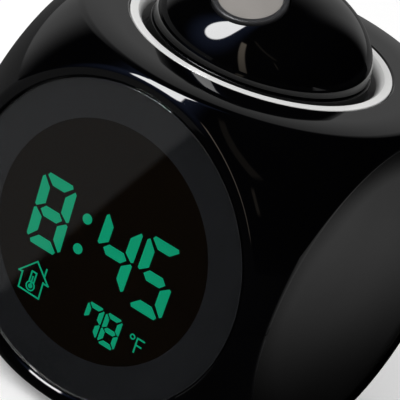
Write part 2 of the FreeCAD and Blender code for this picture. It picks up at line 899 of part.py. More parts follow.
def thermometer_sign():
    """A thermometer inside the house."""
    middle = 0.5 * (house_left + house_right)
    bulb_v = house_floor + thermometer_bulb + 2 * icon_stroke
    low, high = mask_back_w, mask_back_w + sign_thickness
    half = 0.5 * thermometer_width
    outline = fused([disc(thermometer_bulb, low, high, middle, bulb_v),
                     block(middle - half, middle + half, bulb_v, thermometer_top, low, high),
                     disc(half, low, high, middle, thermometer_top)])
    rim = 0.5 * icon_stroke
    room = fused([disc(thermometer_bulb - rim, low - past, high + past, middle, bulb_v),
                  block(middle - half + rim, middle + half - rim, bulb_v, thermometer_top,
                        low - past, high + past)])
    return [outline.cut(room), disc(thermometer_bulb - 2 * rim, low, high, middle, bulb_v)]


def display_signs():
    """Everything the display shows: time, colon, temperature, unit and house."""
    signs = []
    for left, character in time_places:
        signs += digit(character, left, time_base, time_width, time_height, time_stroke)
    for left, character in degrees_places:
        signs += digit(character, left, degrees_base, degrees_width, degrees_height, degrees_stroke)
    low, high = mask_back_w, mask_back_w + sign_thickness
    signs += [disc(colon_radius, low, high, colon_u, v) for v in colon_v]
    ring_bore = degree_ring_radius - icon_stroke
    signs.append(tube(ring_bore, degree_ring_radius, low, high, degree_ring_u, degree_ring_v))
    top, middle = unit_base + unit_height, unit_base + 0.5 * unit_height
    stem = stroke_line([(unit_u, unit_base), (unit_u, top), (unit_u + unit_width, top)], icon_stroke)
    bar = stroke_line([(unit_u, middle), (unit_u + unit_bar_width, middle)], icon_stroke)
    signs += [fused([stem, bar]), house_sign()] + thermometer_sign()
    return [on_face(sign, FRONT) for sign in signs]


def back_panel():
    """The round panel with the button holes, the door opening and the board posts."""
    panel = disc(panel_radius, back_ledge_w, panel_w)
    skirt = tube(panel_skirt - skirt_wall, panel_skirt, back_ledge_w - cover_skirt_depth, back_ledge_w)
    posts = [disc(small_boss_radius, button_board_w, back_ledge_w, u, v) for u, v in button_board_posts]
    solid = fused([panel, skirt] + posts + snap_hooks(panel_skirt, back_ledge_w))
    hole = button_radius + button_gap
    for u in button_places:
        solid = solid.cut(disc(hole, back_ledge_w - past, panel_w + past, u, button_row_v))
    for u, v in button_board_posts:
        solid = solid.cut(small_screw_hole(u, v, button_board_w))
    half_u, high = door_half_u + door_gap, door_high + door_gap
    opening = block(-half_u, half_u, door_low - door_gap, high, back_ledge_w - past, panel_w + past)
    solid = solid.cut(opening.makeFillet(door_corner + door_gap, upright_edges(opening, high)))
    grip = Part.makeSphere(grip_radius, Vector(0, door_high + door_gap, panel_w + grip_radius - grip_depth))
    return on_face(solid.cut(grip), BACK)


def battery_tray():
    """The open box behind the door that holds the three cells."""
    u, v = bay_half_u + bay_wall, bay_half_v + bay_wall
    low = bay_floor_w - bay_wall
    outer = block(-u, u, bay_centre_v - v, bay_centre_v + v, low, back_ledge_w)
    room = block(-bay_half_u, bay_half_u, bay_centre_v - bay_half_v, bay_centre_v + bay_half_v,
                 bay_floor_w, back_ledge_w + past)
    solid = outer.cut(room)
    for u in tab_places():
        half = 0.5 * tab_width + tab_slot_gap
        slot = block(u - half, u + half, bay_centre_v - v - past, bay_centre_v - bay_half_v + past,
                     back_ledge_w - tab_slot_depth, back_ledge_w + past)
        solid = solid.cut(slot)
    return on_face(solid, BACK)


def tab_places():
    """Middles of the door's two tabs."""
    return (-0.5 * tab_spacing, 0.5 * tab_spacing)


def battery_door():
    """The door: a plate with a round lower edge that it turns on, held by two tabs."""
    axis_v = door_low + door_edge_radius
    plate = block(-door_half_u, door_half_u, axis_v, door_high, door_back_w, panel_w)
    plate = plate.makeFillet(door_corner, upright_edges(plate, door_high))
    edge = Part.makeCylinder(door_edge_radius, 2 * door_half_u,
                             Vector(-door_half_u, axis_v, panel_w - door_edge_radius), Vector(1, 0, 0))
    tab_top = back_ledge_w - tab_gap
    solid = [plate, edge]
    for u in tab_places():
        half = 0.5 * tab_width
        inner = door_low + tab_thickness
        foot = block(u - half, u + half, door_low, inner, tab_top - tab_thickness, panel_w - door_edge_radius)
        toe = block(u - half, u + half, door_low - tab_reach, inner, tab_top - tab_thickness, tab_top)
        solid += [foot, toe]
    door = fused(solid)
    grip = Part.makeSphere(grip_radius, Vector(0, door_high + door_gap, panel_w + grip_radius - grip_depth))
    return on_face(door.cut(grip), BACK)


def cell_row(index):
    """Height of one cell's middle, and which way its positive end points."""
    v = bay_centre_v + cell_pitch * (index - 0.5 * (cell_count - 1))
    return v, (1 if index % 2 else -1)


def battery_cell(index):
    """One cell, its positive nub against the contact plate at the far end."""
    v, way = cell_row(index)
    end = way * (bay_half_u - contact_thickness)
    body_end = end - way * cell_nub_height
    body = Part.makeCylinder(cell_radius, cell_length - cell_nub_height, Vector(body_end, v, cell_w),
                             Vector(-way, 0, 0))
    body = body.makeFillet(cell_edge_fillet, [e for e in body.Edges if isinstance(e.Curve, Part.Circle)])
    nub_length = cell_nub_height + cell_nub_sink
    nub = Part.makeCylinder(cell_nub_radius, nub_length, Vector(end, v, cell_w), Vector(-way, 0, 0))
    return on_face(fused([body, nub]), BACK)


def contact_plates():
    """The plates at both ends of each cell, against the end walls of the tray."""
    plates = []
    half = 0.5 * contact_width
    for index in range(cell_count):
        v, way = cell_row(index)
        for side in (-1, 1):
            outer, inner = side * bay_half_u, side * (bay_half_u - contact_thickness)
            plates.append(block(min(outer, inner), max(outer, inner), v - half, v + half,
                                cell_w - half, cell_w + half))
    return [on_face(plate, BACK) for plate in plates]


def contact_springs():
    """The conical springs that press each cell onto its other contact."""
    springs = []
    length = 2 * bay_half_u - 2 * contact_thickness - cell_length
    for index in range(cell_count):
        v, way = cell_row(index)
        spring = coil(spring_large, spring_small, 0, length, spring_turns, spring_wire)
        spring.rotate(Vector(0, 0, 0), Vector(0, 1, 0), 90 * way)
        spring.translate(Vector(-way * (bay_half_u - contact_thickness), v, cell_w))
        springs.append(on_face(spring, BACK))
    return springs


def button(u):
    """A button cap with its flange behind the panel and its stem in the switch."""
    top = panel_w + button_proud
    flange_top = back_ledge_w - button_rest_gap
    flange_low = flange_top - button_flange_thickness
    cap = disc(button_radius, flange_low, top)
    cap = cap.makeFillet(button_edge_fillet, edges_at(cap, top, button_radius))
    flange = disc(button_radius + button_flange, flange_low, flange_top)
    stem = disc(stem_radius, switch_top_w - stem_entry, flange_low)
    solid = fused([cap, flange, stem])
    solid.translate(Vector(u, button_row_v, 0))
    return on_face(solid, BACK)


def button_switch(u):
    """A push switch on the button board, with the bore its stem moves in."""
    half = 0.5 * switch_size
    body = block(-half, half, -half, half, button_board_w, switch_top_w)
    bore = disc(stem_radius + stem_gap, button_board_w + bore_floor, switch_top_w + past)
    body = body.cut(bore)
    body.translate(Vector(u, button_row_v, 0))
    return on_face(body, BACK)


def button_board():
    """The small board behind the four buttons."""
    half = 0.5 * button_board_width
    low = button_board_w - board_thickness
    solid = rounded_block(-half, half, button_board_low, button_board_high, low, button_board_w, board_corner)
    hole = small_screw_radius + small_hole_clearance
    for u, v in button_board_posts:
        solid = solid.cut(disc(hole, low - past, button_board_w + past, u, v))
    return on_face(solid, BACK)


def dome_board_posts():
    """Where the dome board is screwed to the well's underside."""
    step = 360.0 / dome_board_post_count
    turns = [math.radians(dome_board_post_turn + step * i) for i in range(dome_board_post_count)]
    return [(dome_board_post_radius * math.cos(a), dome_board_post_radius * math.sin(a)) for a in turns]


def top_well():
    """The white ring round the dome, with the well under it that guides the dome."""
    mouth = well_outer - well_rim
    lip_z = half_height - well_lip_depth
    bend = Vector(well_bore + well_lip_bulge, 0, half_height - well_lip_drop)
    edges = [Part.Arc(Vector(mouth, 0, half_height), bend, Vector(well_bore, 0, lip_z)).toShape()]
    corners = ((well_bore, lip_z), (well_bore, well_floor_z), (boss_hole, well_floor_z),
               (boss_hole, well_under_z), (well_tube_outer, well_under_z), (well_tube_outer, well_flange_z),
               (well_outer, well_flange_z), (well_outer, half_height), (mouth, half_height))
    for (r0, z0), (r1, z1) in zip(corners, corners[1:]):
        edges.append(Part.LineSegment(Vector(r0, 0, z0), Vector(r1, 0, z1)).toShape())
    well = turned(Part.Wire(edges))
    posts = [disc(small_boss_radius, dome_board_z, well_under_z, x, y) for x, y in dome_board_posts()]
    well = fused([well] + posts)
    for x, y in dome_board_posts():
        well = well.cut(small_screw_hole(x, y, dome_board_z))
    return well


def dome_board():
    """The board under the well that carries the dome's switch."""
    low = dome_board_z - board_thickness
    solid = disc(dome_board_radius, low, dome_board_z)
    hole = small_screw_radius + small_hole_clearance
    for x, y in dome_board_posts():
        solid = solid.cut(disc(hole, low - past, dome_board_z + past, x, y))
    return solid


def press_switch():
    """The switch that the dome works when it is pressed."""
    half = 0.5 * press_switch_size
    body = block(-half, half, -half, half, dome_board_z, press_switch_z)
    bore = plunger_radius + plunger_clearance
    return body.cut(disc(bore, dome_board_z + bore_floor, press_switch_z + past))


def press_plunger():
    """The pin between the dome carrier's post and the inside of the switch."""
    low = dome_board_z + bore_floor + press_travel + stop_gap
    return disc(plunger_radius, low, post_end_z)


def dome_carrier():
    """The plate that slides in the well, with a hub that the dome turns on."""
    plate = disc(well_bore - carrier_gap, carrier_z, carrier_top_z)
    boss_outer = boss_hole - boss_clearance
    hook_top = well_under_z - stop_gap
    boss = tube(boss_outer - boss_wall, boss_outer, hook_top - hook_thickness, carrier_z)
    hub = tube(hub_radius - hub_wall, hub_radius, carrier_top_z, washer_z)
    post = disc(post_radius, post_end_z, washer_z)
    hook = block(boss_outer - boss_wall, boss_outer + boss_hook_reach, -0.5 * hook_width, 0.5 * hook_width,
                 hook_top - hook_thickness, hook_top)
    hooks = []
    for i in range(boss_hook_count):
        one = hook.copy()
        one.rotate(Vector(0, 0, 0), Vector(0, 0, 1), boss_hook_turn + 360.0 / boss_hook_count * i)
        hooks.append(one)
    solid = fused([plate, boss, hub, post] + hooks)
    hole_end = washer_top_z - swivel_screw_length - small_hole_spare
    return solid.cut(disc(screw_radius + thread_clearance, hole_end, washer_z + past))


def return_spring():
    """The spring between the well's floor and the carrier that lifts the dome again."""
    radius = 0.5 * (well_bore + boss_hole)
    return coil(radius, radius, well_floor_z, carrier_z, return_turns, return_wire)


def swivel_washer():
    """The washer on the hub that keeps the turntable down."""
    return tube(screw_radius + screw_clearance, washer_radius, washer_z, washer_top_z)


def swivel_screw():
    """The screw that holds the washer on the hub."""
    head = disc(screw_head_radius, washer_top_z, washer_top_z + screw_head_height)
    shank = disc(screw_radius, washer_top_z - swivel_screw_length, washer_top_z)
    face_z = washer_top_z + screw_head_height
    return crossed(fused([head, shank]), 0, 0, face_z, screw_head_radius, screw_head_height)


def crossed(screw, x, y, face_z, radius, height):
    """A screw with a cross cut into the outer face of its head."""
    arm, half, depth = cross_arm_share * radius, cross_half_share * radius, cross_depth_share * height
    screw = screw.cut(block(x - arm, x + arm, y - half, y + half, face_z - depth, face_z + depth))
    return screw.cut(block(x - half, x + half, y - arm, y + arm, face_z - depth, face_z + depth))


def turntable():
    """The dome's floor and the collar that shows under the dome."""
    plate = tube(hub_radius + hub_clearance, collar_radius, turntable_z, turntable_top_z)
    collar = tube(collar_radius - collar_wall, collar_radius, turntable_z, collar_top)
    return fused([plate, collar])


def half_ellipsoid(radius, height, base):
    """The upper half of a flattened ball standing on a height."""
    curve = Part.Ellipse(Vector(0, 0, 0), radius, height)
    arc = Part.ArcOfEllipse(curve, 0, 0.5 * math.pi).toShape()
    arc.rotate(Vector(0, 0, 0), Vector(1, 0, 0), 90)
    arc.translate(Vector(0, 0, base))
    centre = Vector(0, 0, base)
    top, edge = Vector(0, 0, base + height), Vector(radius, 0, base)
    sides = [Part.LineSegment(top, centre).toShape(), Part.LineSegment(centre, edge).toShape()]
    return turned(Part.Wire([arc] + sides))


def dome_shell():
    """The glossy dome with the round hole for the lens."""
    shell = half_ellipsoid(dome_radius, dome_height, dome_base_z)
    shell = shell.cut(half_ellipsoid(dome_radius - dome_wall, dome_height - dome_wall, dome_base_z))
    lip_outer = collar_radius - collar_wall - dome_lip_clearance
    low = dome_base_z - dome_lip_depth
    lip = tube(dome_radius - dome_wall - dome_lip_overlap, lip_outer, low, dome_base_z)
    solid = fused([shell, lip])
    return solid.cut(on_lens_axis(disc(focus_outer + part_gap, barrel_end, dome_height)))


def lens_barrel():
    """The fixed tube of the projector, with its leg on the turntable."""
    outer = barrel_bore + barrel_wall
    body = tube(barrel_bore, outer, barrel_end, barrel_top)
    plate_low = barrel_plate_top - barrel_plate_thickness
    plate = tube(condenser_radius + lens_fit, outer, plate_low, barrel_plate_top)
    leg = block(-0.5 * leg_width, 0.5 * leg_width, -leg_front, -leg_front + leg_depth,
                turntable_top_z, turntable_top_z + leg_height)
    leg = leg.cut(on_lens_axis(disc(outer - 0.5 * barrel_wall, barrel_end, 0)))
    leg = leg.cut(on_lens_axis(disc(outer, barrel_end - 2 * leg_height, barrel_end)))
    return fused([on_lens_axis(fused([body, plate])), leg])


def condenser_lens():
    """The small lens that spreads the lamp's light over the slide."""
    return on_lens_axis(disc(condenser_radius, barrel_plate_top - barrel_plate_thickness, barrel_plate_top))


def projector_slide():
    """The tiny display whose picture is thrown on the wall."""
    half = 0.5 * slide_size
    return on_lens_axis(block(-half, half, -half, half, barrel_plate_top, barrel_plate_top + slide_thickness))


def lamp_board():
    """The round board that closes the barrel's inner end."""
    return on_lens_axis(disc(barrel_bore + barrel_wall, barrel_end - led_board_thickness, barrel_end))


def projector_lamp():
    """The lamp: a square chip with a low clear cap."""
    half = 0.5 * led_size
    base = block(-half, half, -half, half, barrel_end, barrel_end + led_base_height)
    cap = disc(led_cap_radius, barrel_end + led_base_height, barrel_end + led_height)
    return on_lens_axis(fused([base, cap]))


def focus_ring():
    """The grey ring round the lens, turned by hand to focus."""
    solid = tube(barrel_bore, focus_outer, focus_bottom, focus_top)
    return on_lens_axis(solid.makeChamfer(focus_chamfer, edges_at(solid, focus_top, focus_outer)))


def lens_cell():
    """The thin tube that carries the lens, held by the focus ring and turning in the barrel."""
    thin = tube(cell_inner, barrel_bore, focus_bottom, cell_tube_top)
    thick = tube(cell_inner - cell_ledge, cell_outer, cell_tube_end, lens_seat)
    return on_lens_axis(fused([thin, thick]))


def projection_lens():
    """The clear front lens, flat inside and domed outside."""
    return on_lens_axis(crowned_disc(cell_inner - lens_fit, lens_seat, lens_seat + lens_edge, lens_crown))


def speaker_frame():
    """The steel can of the loudspeaker, facing down through the grille."""
    rim = tube(speaker_radius - speaker_rim, speaker_radius, floor_z, speaker_can_z)
    can_outer = speaker_radius - 0.5 * speaker_rim + 0.5 * speaker_can
    can = tube(can_outer - speaker_can, can_outer, speaker_can_z, speaker_top_z)
    plate = tube(cone_top_radius, can_outer, speaker_top_z - speaker_plate, speaker_top_z)
    return fused([rim, can, plate])


def speaker_cone():
    """The cone, seated on the inside of the can's rim."""
    edge = speaker_radius - 0.5 * speaker_rim - 0.5 * speaker_can - cone_fit
    low, high = speaker_can_z, speaker_can_z + cone_depth
    rim = edge - cone_edge
    profile = ((edge, low), (edge, low + cone_thickness), (rim, low + cone_thickness),
               (cone_top_radius, high), (0, high), (0, high - cone_thickness),
               (cone_top_radius, high - cone_thickness), (rim, low))
    return turned(polygon(profile))


def speaker_magnet():
    """The magnet on the back of the loudspeaker."""
    return disc(magnet_radius, speaker_top_z, speaker_top_z + magnet_height)


def temperature_sensor():
    """The sensor bead, standing in its clip over the vents."""
    body = disc(sensor_radius, floor_z, floor_z + sensor_height - sensor_radius, sensor_x, 0)
    tip = Part.makeSphere(sensor_radius, Vector(sensor_x, 0, floor_z + sensor_height - sensor_radius))
    return fused([body, tip])


def housing_screws():
    """The four long screws that hold the halves together."""
    screws = []
    for x, y in screw_places:
        head = disc(screw_head_radius, screw_head_z - screw_head_height, screw_head_z, x, y)
        shank = disc(screw_radius, screw_head_z, screw_head_z + screw_length, x, y)
        face_z = screw_head_z - screw_head_height
        screws.append(crossed(fused([head, shank]), x, y, face_z, screw_head_radius, screw_head_height))
    return screws


def foot(x, y):
    """A rubber foot whose plug closes a screw hole."""
    pad = disc(foot_radius, -centre_z, -half_height)
    pad = pad.makeFillet(foot_fillet, edges_at(pad, -centre_z, foot_radius))
    plug_radius = screw_head_radius + screw_head_gap - foot_plug_clearance
    plug = disc(plug_radius, -half_height, -half_height + foot_plug_length)
    solid = fused([pad, plug])
    solid.translate(Vector(x, y, 0))
    return solid


def save_housing():
    """The two halves, their covers, screws and feet."""
    shell = housing_shell()
    save("lower_housing", lower_housing(shell))
    save("upper_housing", upper_housing(shell))
    save("left_side_cover", side_cover(LEFT))
    save("right_side_cover", side_cover(RIGHT))
    save("housing_screws", *housing_screws())
    names = ("front_left_foot", "back_left_foot", "front_right_foot", "back_right_foot")
    for name, (x, y) in zip(names, screw_places):
        save(name, foot(x, y))


def save_display():
    """The display stack and the main board."""
    save("front_glass", front_glass())
    save("display_mask", display_mask())
    save("display_signs", *display_signs())
    save("smoked_filter", smoked_filter())
    save("front_frame", front_frame())
    save("lcd_panel", lcd_panel())
    save("backlight", backlight())
    save("display_connector", display_connector())
    save("main_board", main_board())
    save("processor_chip", chip())
    save("board_parts", *board_parts())
    save("board_screws", *board_screws())


def save_back():
    """The back panel with its buttons, the battery bay and the door."""
    save("back_panel", back_panel())
    save("battery_tray", battery_tray())
    save("battery_door", battery_door())
    for index in range(cell_count):
        save("battery_cell_" + str(index + 1), battery_cell(index))
    save("contact_plates", *contact_plates())
    save("contact_springs", *contact_springs())
    names = ("mode_button", "set_button", "down_button", "up_button")
    for name, u in zip(names, button_places):
        save(name, button(u))
    save("button_board", button_board())
    save("button_switches", *[button_switch(u) for u in button_places])


def save_dome():
    """The well, the dome that presses and turns in it, and the projector."""
    save("top_well", top_well())
    save("dome_board", dome_board())
    save("press_switch", press_switch())
    save("press_plunger", press_plunger())
    save("dome_carrier", dome_carrier())
    save("return_spring", return_spring())
    save("swivel_washer", swivel_washer())
    save("swivel_screw", swivel_screw())
    save("turntable", turntable())
    save("dome_shell", dome_shell())
    save("lens_barrel", lens_barrel())
    save("condenser_lens", condenser_lens())
    save("projector_slide", projector_slide())
    save("lamp_board", lamp_board())
    save("projector_lamp", projector_lamp())
    save("focus_ring", focus_ring())
    save("lens_cell", lens_cell())
    save("projection_lens", projection_lens())


def save_base():
    """The loudspeaker and the temperature sensor."""
    save("speaker_frame", speaker_frame())
    save("speaker_cone", speaker_cone())
    save("speaker_magnet", speaker_magnet())
    save("temperature_sensor", temperature_sensor())


os.makedirs("parts", exist_ok=True)
save_housing()
save_display()
save_back()
save_dome()
save_base()
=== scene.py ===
"""Dresses the projection alarm clock: smooth skins, finishes, studio and camera.

Lengths in the classes are in millimetres. Heights along z in a class are above the standing surface.
"""
import json
import logging
import math
from dataclasses import dataclass, field
from enum import Enum

import bpy
from mathutils import Matrix, Vector


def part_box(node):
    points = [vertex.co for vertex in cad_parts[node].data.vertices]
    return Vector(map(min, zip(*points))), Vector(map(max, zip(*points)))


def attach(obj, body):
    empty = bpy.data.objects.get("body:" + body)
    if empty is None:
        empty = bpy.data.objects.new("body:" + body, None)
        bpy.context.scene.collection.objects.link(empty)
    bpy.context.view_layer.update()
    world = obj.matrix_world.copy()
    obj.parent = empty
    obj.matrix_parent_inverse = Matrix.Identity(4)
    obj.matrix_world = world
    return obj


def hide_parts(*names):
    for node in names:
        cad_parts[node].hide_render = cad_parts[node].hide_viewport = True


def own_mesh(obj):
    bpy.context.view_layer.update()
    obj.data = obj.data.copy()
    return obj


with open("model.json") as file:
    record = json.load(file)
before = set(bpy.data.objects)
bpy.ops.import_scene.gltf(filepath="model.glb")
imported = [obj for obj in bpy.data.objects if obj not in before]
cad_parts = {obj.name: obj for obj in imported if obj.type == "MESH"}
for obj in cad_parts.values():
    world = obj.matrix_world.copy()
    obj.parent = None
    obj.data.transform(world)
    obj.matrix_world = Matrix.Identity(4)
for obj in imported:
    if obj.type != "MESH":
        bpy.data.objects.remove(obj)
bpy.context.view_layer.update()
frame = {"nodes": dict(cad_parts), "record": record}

logging.basicConfig(level=logging.INFO, format="%(message)s")
log = logging.getLogger("clock")

MM = 0.001
CENTRE = Vector((0.0, 0.0, 42.9))
Run = list[tuple[float, float, float, float]]
Corner = tuple[Vector, Vector]
Outline = list[tuple[float, float]]
Stroke = tuple[float, float, float, float]


class Pattern(Enum):
    """How a finish's grain is stretched along x, y and z."""

    EVEN = (1.0, 1.0, 1.0)
    DRAWN = (1.0, 1.0, 0.06)
    ROLLED = (0.05, 1.0, 1.0)


# ---------------------------------------------------------------- meshes


def line(r0: float, w0: float, r1: float, w1: float) -> Run:
    """A straight run of a profile, whose outside is on the right of its travel.

    Args:
        r0: Radius at the start.
        w0: Place along the axis at the start.
        r1: Radius at the end.
        w1: Place along the axis at the end.

    Returns:
        Two points, each radius, place, and the normal's two parts.
    """
    length = math.hypot(r1 - r0, w1 - w0)
    nr, nw = (w1 - w0) / length, (r0 - r1) / length
    return [(r0, w0, nr, nw), (r1, w1, nr, nw)]


def lines(*points: tuple[float, float]) -> list[Run]:
    """Straight runs through points given as radius and place."""
    return [line(*a, *b) for a, b in zip(points, points[1:])]


def arc(r: float, w: float, radius: float, start: float, end: float, steps: int) -> Run:
    """A round run of a profile, convex where its angle grows and hollow where it falls.

    Args:
        r: Radius of the arc's centre.
        w: Place of the arc's centre along the axis.
        radius: The arc's own radius.
        start: First angle in degrees, from the outward direction towards the axis.
        end: Last angle in degrees.
        steps: Number of parts.

    Returns:
        The points with their exact normals.
    """
    side = 1.0 if end > start else -1.0
    run = []
    for k in range(steps + 1):
        angle = math.radians(start + (end - start) * k / steps)
        c, s = math.cos(angle), math.sin(angle)
        run.append((r + radius * c, w + radius * s, side * c, side * s))
    return run


@dataclass(frozen=True)
class Spot:
    """A place to turn a profile about: an origin, an axis and a direction that counts as up."""

    origin: Vector
    axis: Vector
    up: Vector

    def column(self, runs: list[Run], turn: float) -> list[list[Corner]]:
        """Puts a profile's runs in space at one turn about the axis.

        Args:
            runs: The profile.
            turn: Angle about the axis in radians.

        Returns:
            For each run, its points and normals.
        """
        side = self.up.cross(self.axis)
        out = side * math.cos(turn) + self.up * math.sin(turn)
        return [[(self.origin + self.axis * w + out * r, self.axis * nw + out * nr) for r, w, nr, nw in run]
                for run in runs]


FRONT = Spot(CENTRE, Vector((0, -1, 0)), Vector((0, 0, 1)))
BACK = Spot(CENTRE, Vector((0, 1, 0)), Vector((0, 0, 1)))
RIGHT = Spot(CENTRE, Vector((1, 0, 0)), Vector((0, 0, 1)))
LEFT = Spot(CENTRE, Vector((-1, 0, 0)), Vector((0, 0, 1)))
TOP = Spot(CENTRE, Vector((0, 0, 1)), Vector((0, 1, 0)))
UNDER = Spot(CENTRE, Vector((0, 0, -1)), Vector((0, 1, 0)))


@dataclass
class Skin:
    """Collects faces whose corners carry their own normals, and merges equal points."""

    points: list[Vector] = field(default_factory=list)
    places: dict[tuple[float, ...], int] = field(default_factory=dict)
    faces: list[list[int]] = field(default_factory=list)
    normals: list[Vector] = field(default_factory=list)

    def point(self, place: Vector) -> int:
        """The index of a point, added if it is new."""
        key = tuple(round(c + 0.0, 4) for c in place)
        if key not in self.places:
            self.places[key] = len(self.points)
            self.points.append(place)
        return self.places[key]

    def face(self, corners: list[Corner]) -> None:
        """Adds a face that looks the way its corners' normals do.

        Args:
            corners: Points and normals in order round the face.
        """
        kept: list[tuple[int, Vector]] = []
        for place, normal in corners:
            index = self.point(place)
            if index not in [i for i, _ in kept]:
                kept.append((index, normal))
        if len(kept) < 3:
            return
        area = Vector()
        first = self.points[kept[0][0]]
        for (a, _), (b, _) in zip(kept[1:], kept[2:]):
            area += (self.points[a] - first).cross(self.points[b] - first)
        if area.dot(sum((n for _, n in kept), Vector())) < 0:
            kept.reverse()
        self.faces.append([i for i, _ in kept])
        self.normals.extend(n for _, n in kept)

    def sweep(self, columns: list[list[list[Corner]]], closed: bool = True) -> None:
        """Joins columns of runs side by side.

        Args:
            columns: The same runs at each place round the shape.
            closed: Whether the last column joins the first.
        """
        pairs = list(zip(columns, columns[1:] + columns[:1]))
        for near, far in pairs if closed else pairs[:-1]:
            for a, b in zip(near, far):
                for k in range(len(a) - 1):
                    self.face([a[k], b[k], b[k + 1], a[k + 1]])

    def turned(self, spot: Spot, runs: list[Run], segments: int = 128) -> "Skin":
        """Turns a profile all the way round a spot.

        Args:
            spot: Where the axis is.
            runs: The profile.
            segments: Number of columns.

        Returns:
            The skin itself.
        """
        self.sweep([spot.column(runs, 2 * math.pi * k / segments) for k in range(segments)])
        return self

    def piece(self, name: str) -> bpy.types.Object:
        """Makes the object, in metres, at the origin.

        Args:
            name: The object's name.

        Returns:
            The object.
        """
        mesh = bpy.data.meshes.new(name)
        mesh.from_pydata([tuple(p * MM) for p in self.points], [], self.faces)
        mesh.polygons.foreach_set("use_smooth", [True] * len(mesh.polygons))
        mesh.normals_split_custom_set([tuple(n.normalized()) for n in self.normals])
        obj = bpy.data.objects.new(name, mesh)
        bpy.context.scene.collection.objects.link(obj)
        return obj


def box_of(node: str) -> tuple[Vector, ...]:
    """The low and the high corner of a CAD node's box in millimetres."""
    return tuple(Vector(c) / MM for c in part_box(node))


def middle(node: str) -> Vector:
    """The middle of a CAD node's box in millimetres."""
    low, high = box_of(node)
    return (low + high) / 2


# ---------------------------------------------------------------- nodes


def feed(node: bpy.types.Node, **links: object) -> bpy.types.Node:
    """Feeds a node's inputs by name.

    Args:
        node: The node.
        **links: Sockets or values; underscores in a name stand for spaces.

    Returns:
        The same node.
    """
    for key, value in links.items():
        slot = next(s for s in node.inputs if s.name == key.replace("_", " ") and s.enabled)
        if isinstance(value, bpy.types.NodeSocket):
            node.id_data.links.new(value, slot)
        else:
            slot.default_value = value
    return node


def add_node(tree: bpy.types.NodeTree, kind: str, settings: dict[str, object] | None = None,
             **links: object) -> bpy.types.Node:
    """Adds a node, sets its properties and feeds its inputs.

    Args:
        tree: Where the node goes.
        kind: The node's type.
        settings: The node's own properties.
        **links: Sockets or values, as for feed.

    Returns:
        The node.
    """
    node = tree.nodes.new(kind)
    for key, value in (settings or {}).items():
        setattr(node, key, value)
    return feed(node, **links)


@dataclass
class Sums:
    """Writes arithmetic as nodes of one tree."""

    tree: bpy.types.NodeTree

    def op(self, kind: str, *values: object) -> bpy.types.NodeSocket:
        """One Math node.

        Args:
            kind: The operation.
            *values: Numbers or sockets.

        Returns:
            The result's socket.
        """
        node = add_node(self.tree, "ShaderNodeMath", {"operation": kind})
        for slot, value in zip(node.inputs, values):
            if isinstance(value, (int, float)):
                slot.default_value = value
            else:
                self.tree.links.new(value, slot)
        return node.outputs[0]

    def rise(self, value: bpy.types.NodeSocket, low: float, high: float, to: float = 1.0) -> bpy.types.NodeSocket:
        """A smooth step from 0 at low up to a value at high."""
        return add_node(self.tree, "ShaderNodeMapRange", {"interpolation_type": "SMOOTHSTEP"}, Value=value,
                        From_Min=low, From_Max=high, To_Max=to).outputs["Result"]

    def between(self, value: bpy.types.NodeSocket, low: float, high: float, soft: float) -> bpy.types.NodeSocket:
        """One inside a range and zero outside, with soft ends."""
        ends = self.rise(value, low - soft, low + soft), self.rise(value, high + soft, high - soft)
        return self.op("MULTIPLY", *ends)


def new_group(name: str, inputs: dict[str, float | None], outputs: list[str]) -> tuple:
    """A shader node group with named sockets.

    Args:
        name: The group's name.
        inputs: Number inputs and what they start at; None makes a vector.
        outputs: Number outputs.

    Returns:
        The tree, its input node and its output node.
    """
    tree = bpy.data.node_groups.new(name, "ShaderNodeTree")
    for label, value in inputs.items():
        kind = "NodeSocketVector" if value is None else "NodeSocketFloat"
        socket = tree.interface.new_socket(name=label, in_out="INPUT", socket_type=kind)
        if value is not None:
            socket.default_value = value
    for label in outputs:
        tree.interface.new_socket(name=label, in_out="OUTPUT", socket_type="NodeSocketFloat")
    return tree, tree.nodes.new("NodeGroupInput"), tree.nodes.new("NodeGroupOutput")


def object_place(tree: bpy.types.NodeTree) -> bpy.types.NodeSocket:
    """Where a point lies in its own object."""
    return tree.nodes.new("ShaderNodeTexCoord").outputs["Object"]


def new_material(name: str) -> tuple[bpy.types.Material, bpy.types.Node, Sums]:
    """Starts a node material.

    Args:
        name: The material's name.

    Returns:
        The material, its Principled node and a writer for its tree.
    """
    mat = bpy.data.materials.new(name)
    mat.use_nodes = True
    return mat, mat.node_tree.nodes["Principled BSDF"], Sums(mat.node_tree)


def show_either(tree: bpy.types.NodeTree, share: object, first: object, second: object) -> None:
    """Makes a mix of two shaders the material's surface.

    Args:
        tree: The material's tree.
        share: Where this socket is 1, the second shader shows.
        first: The first shader's socket.
        second: The second shader's socket.
    """
    mix = add_node(tree, "ShaderNodeMixShader", Fac=share)
    tree.links.new(first, mix.inputs[1])
    tree.links.new(second, mix.inputs[2])
    feed(tree.nodes["Material Output"], Surface=mix.outputs["Shader"])


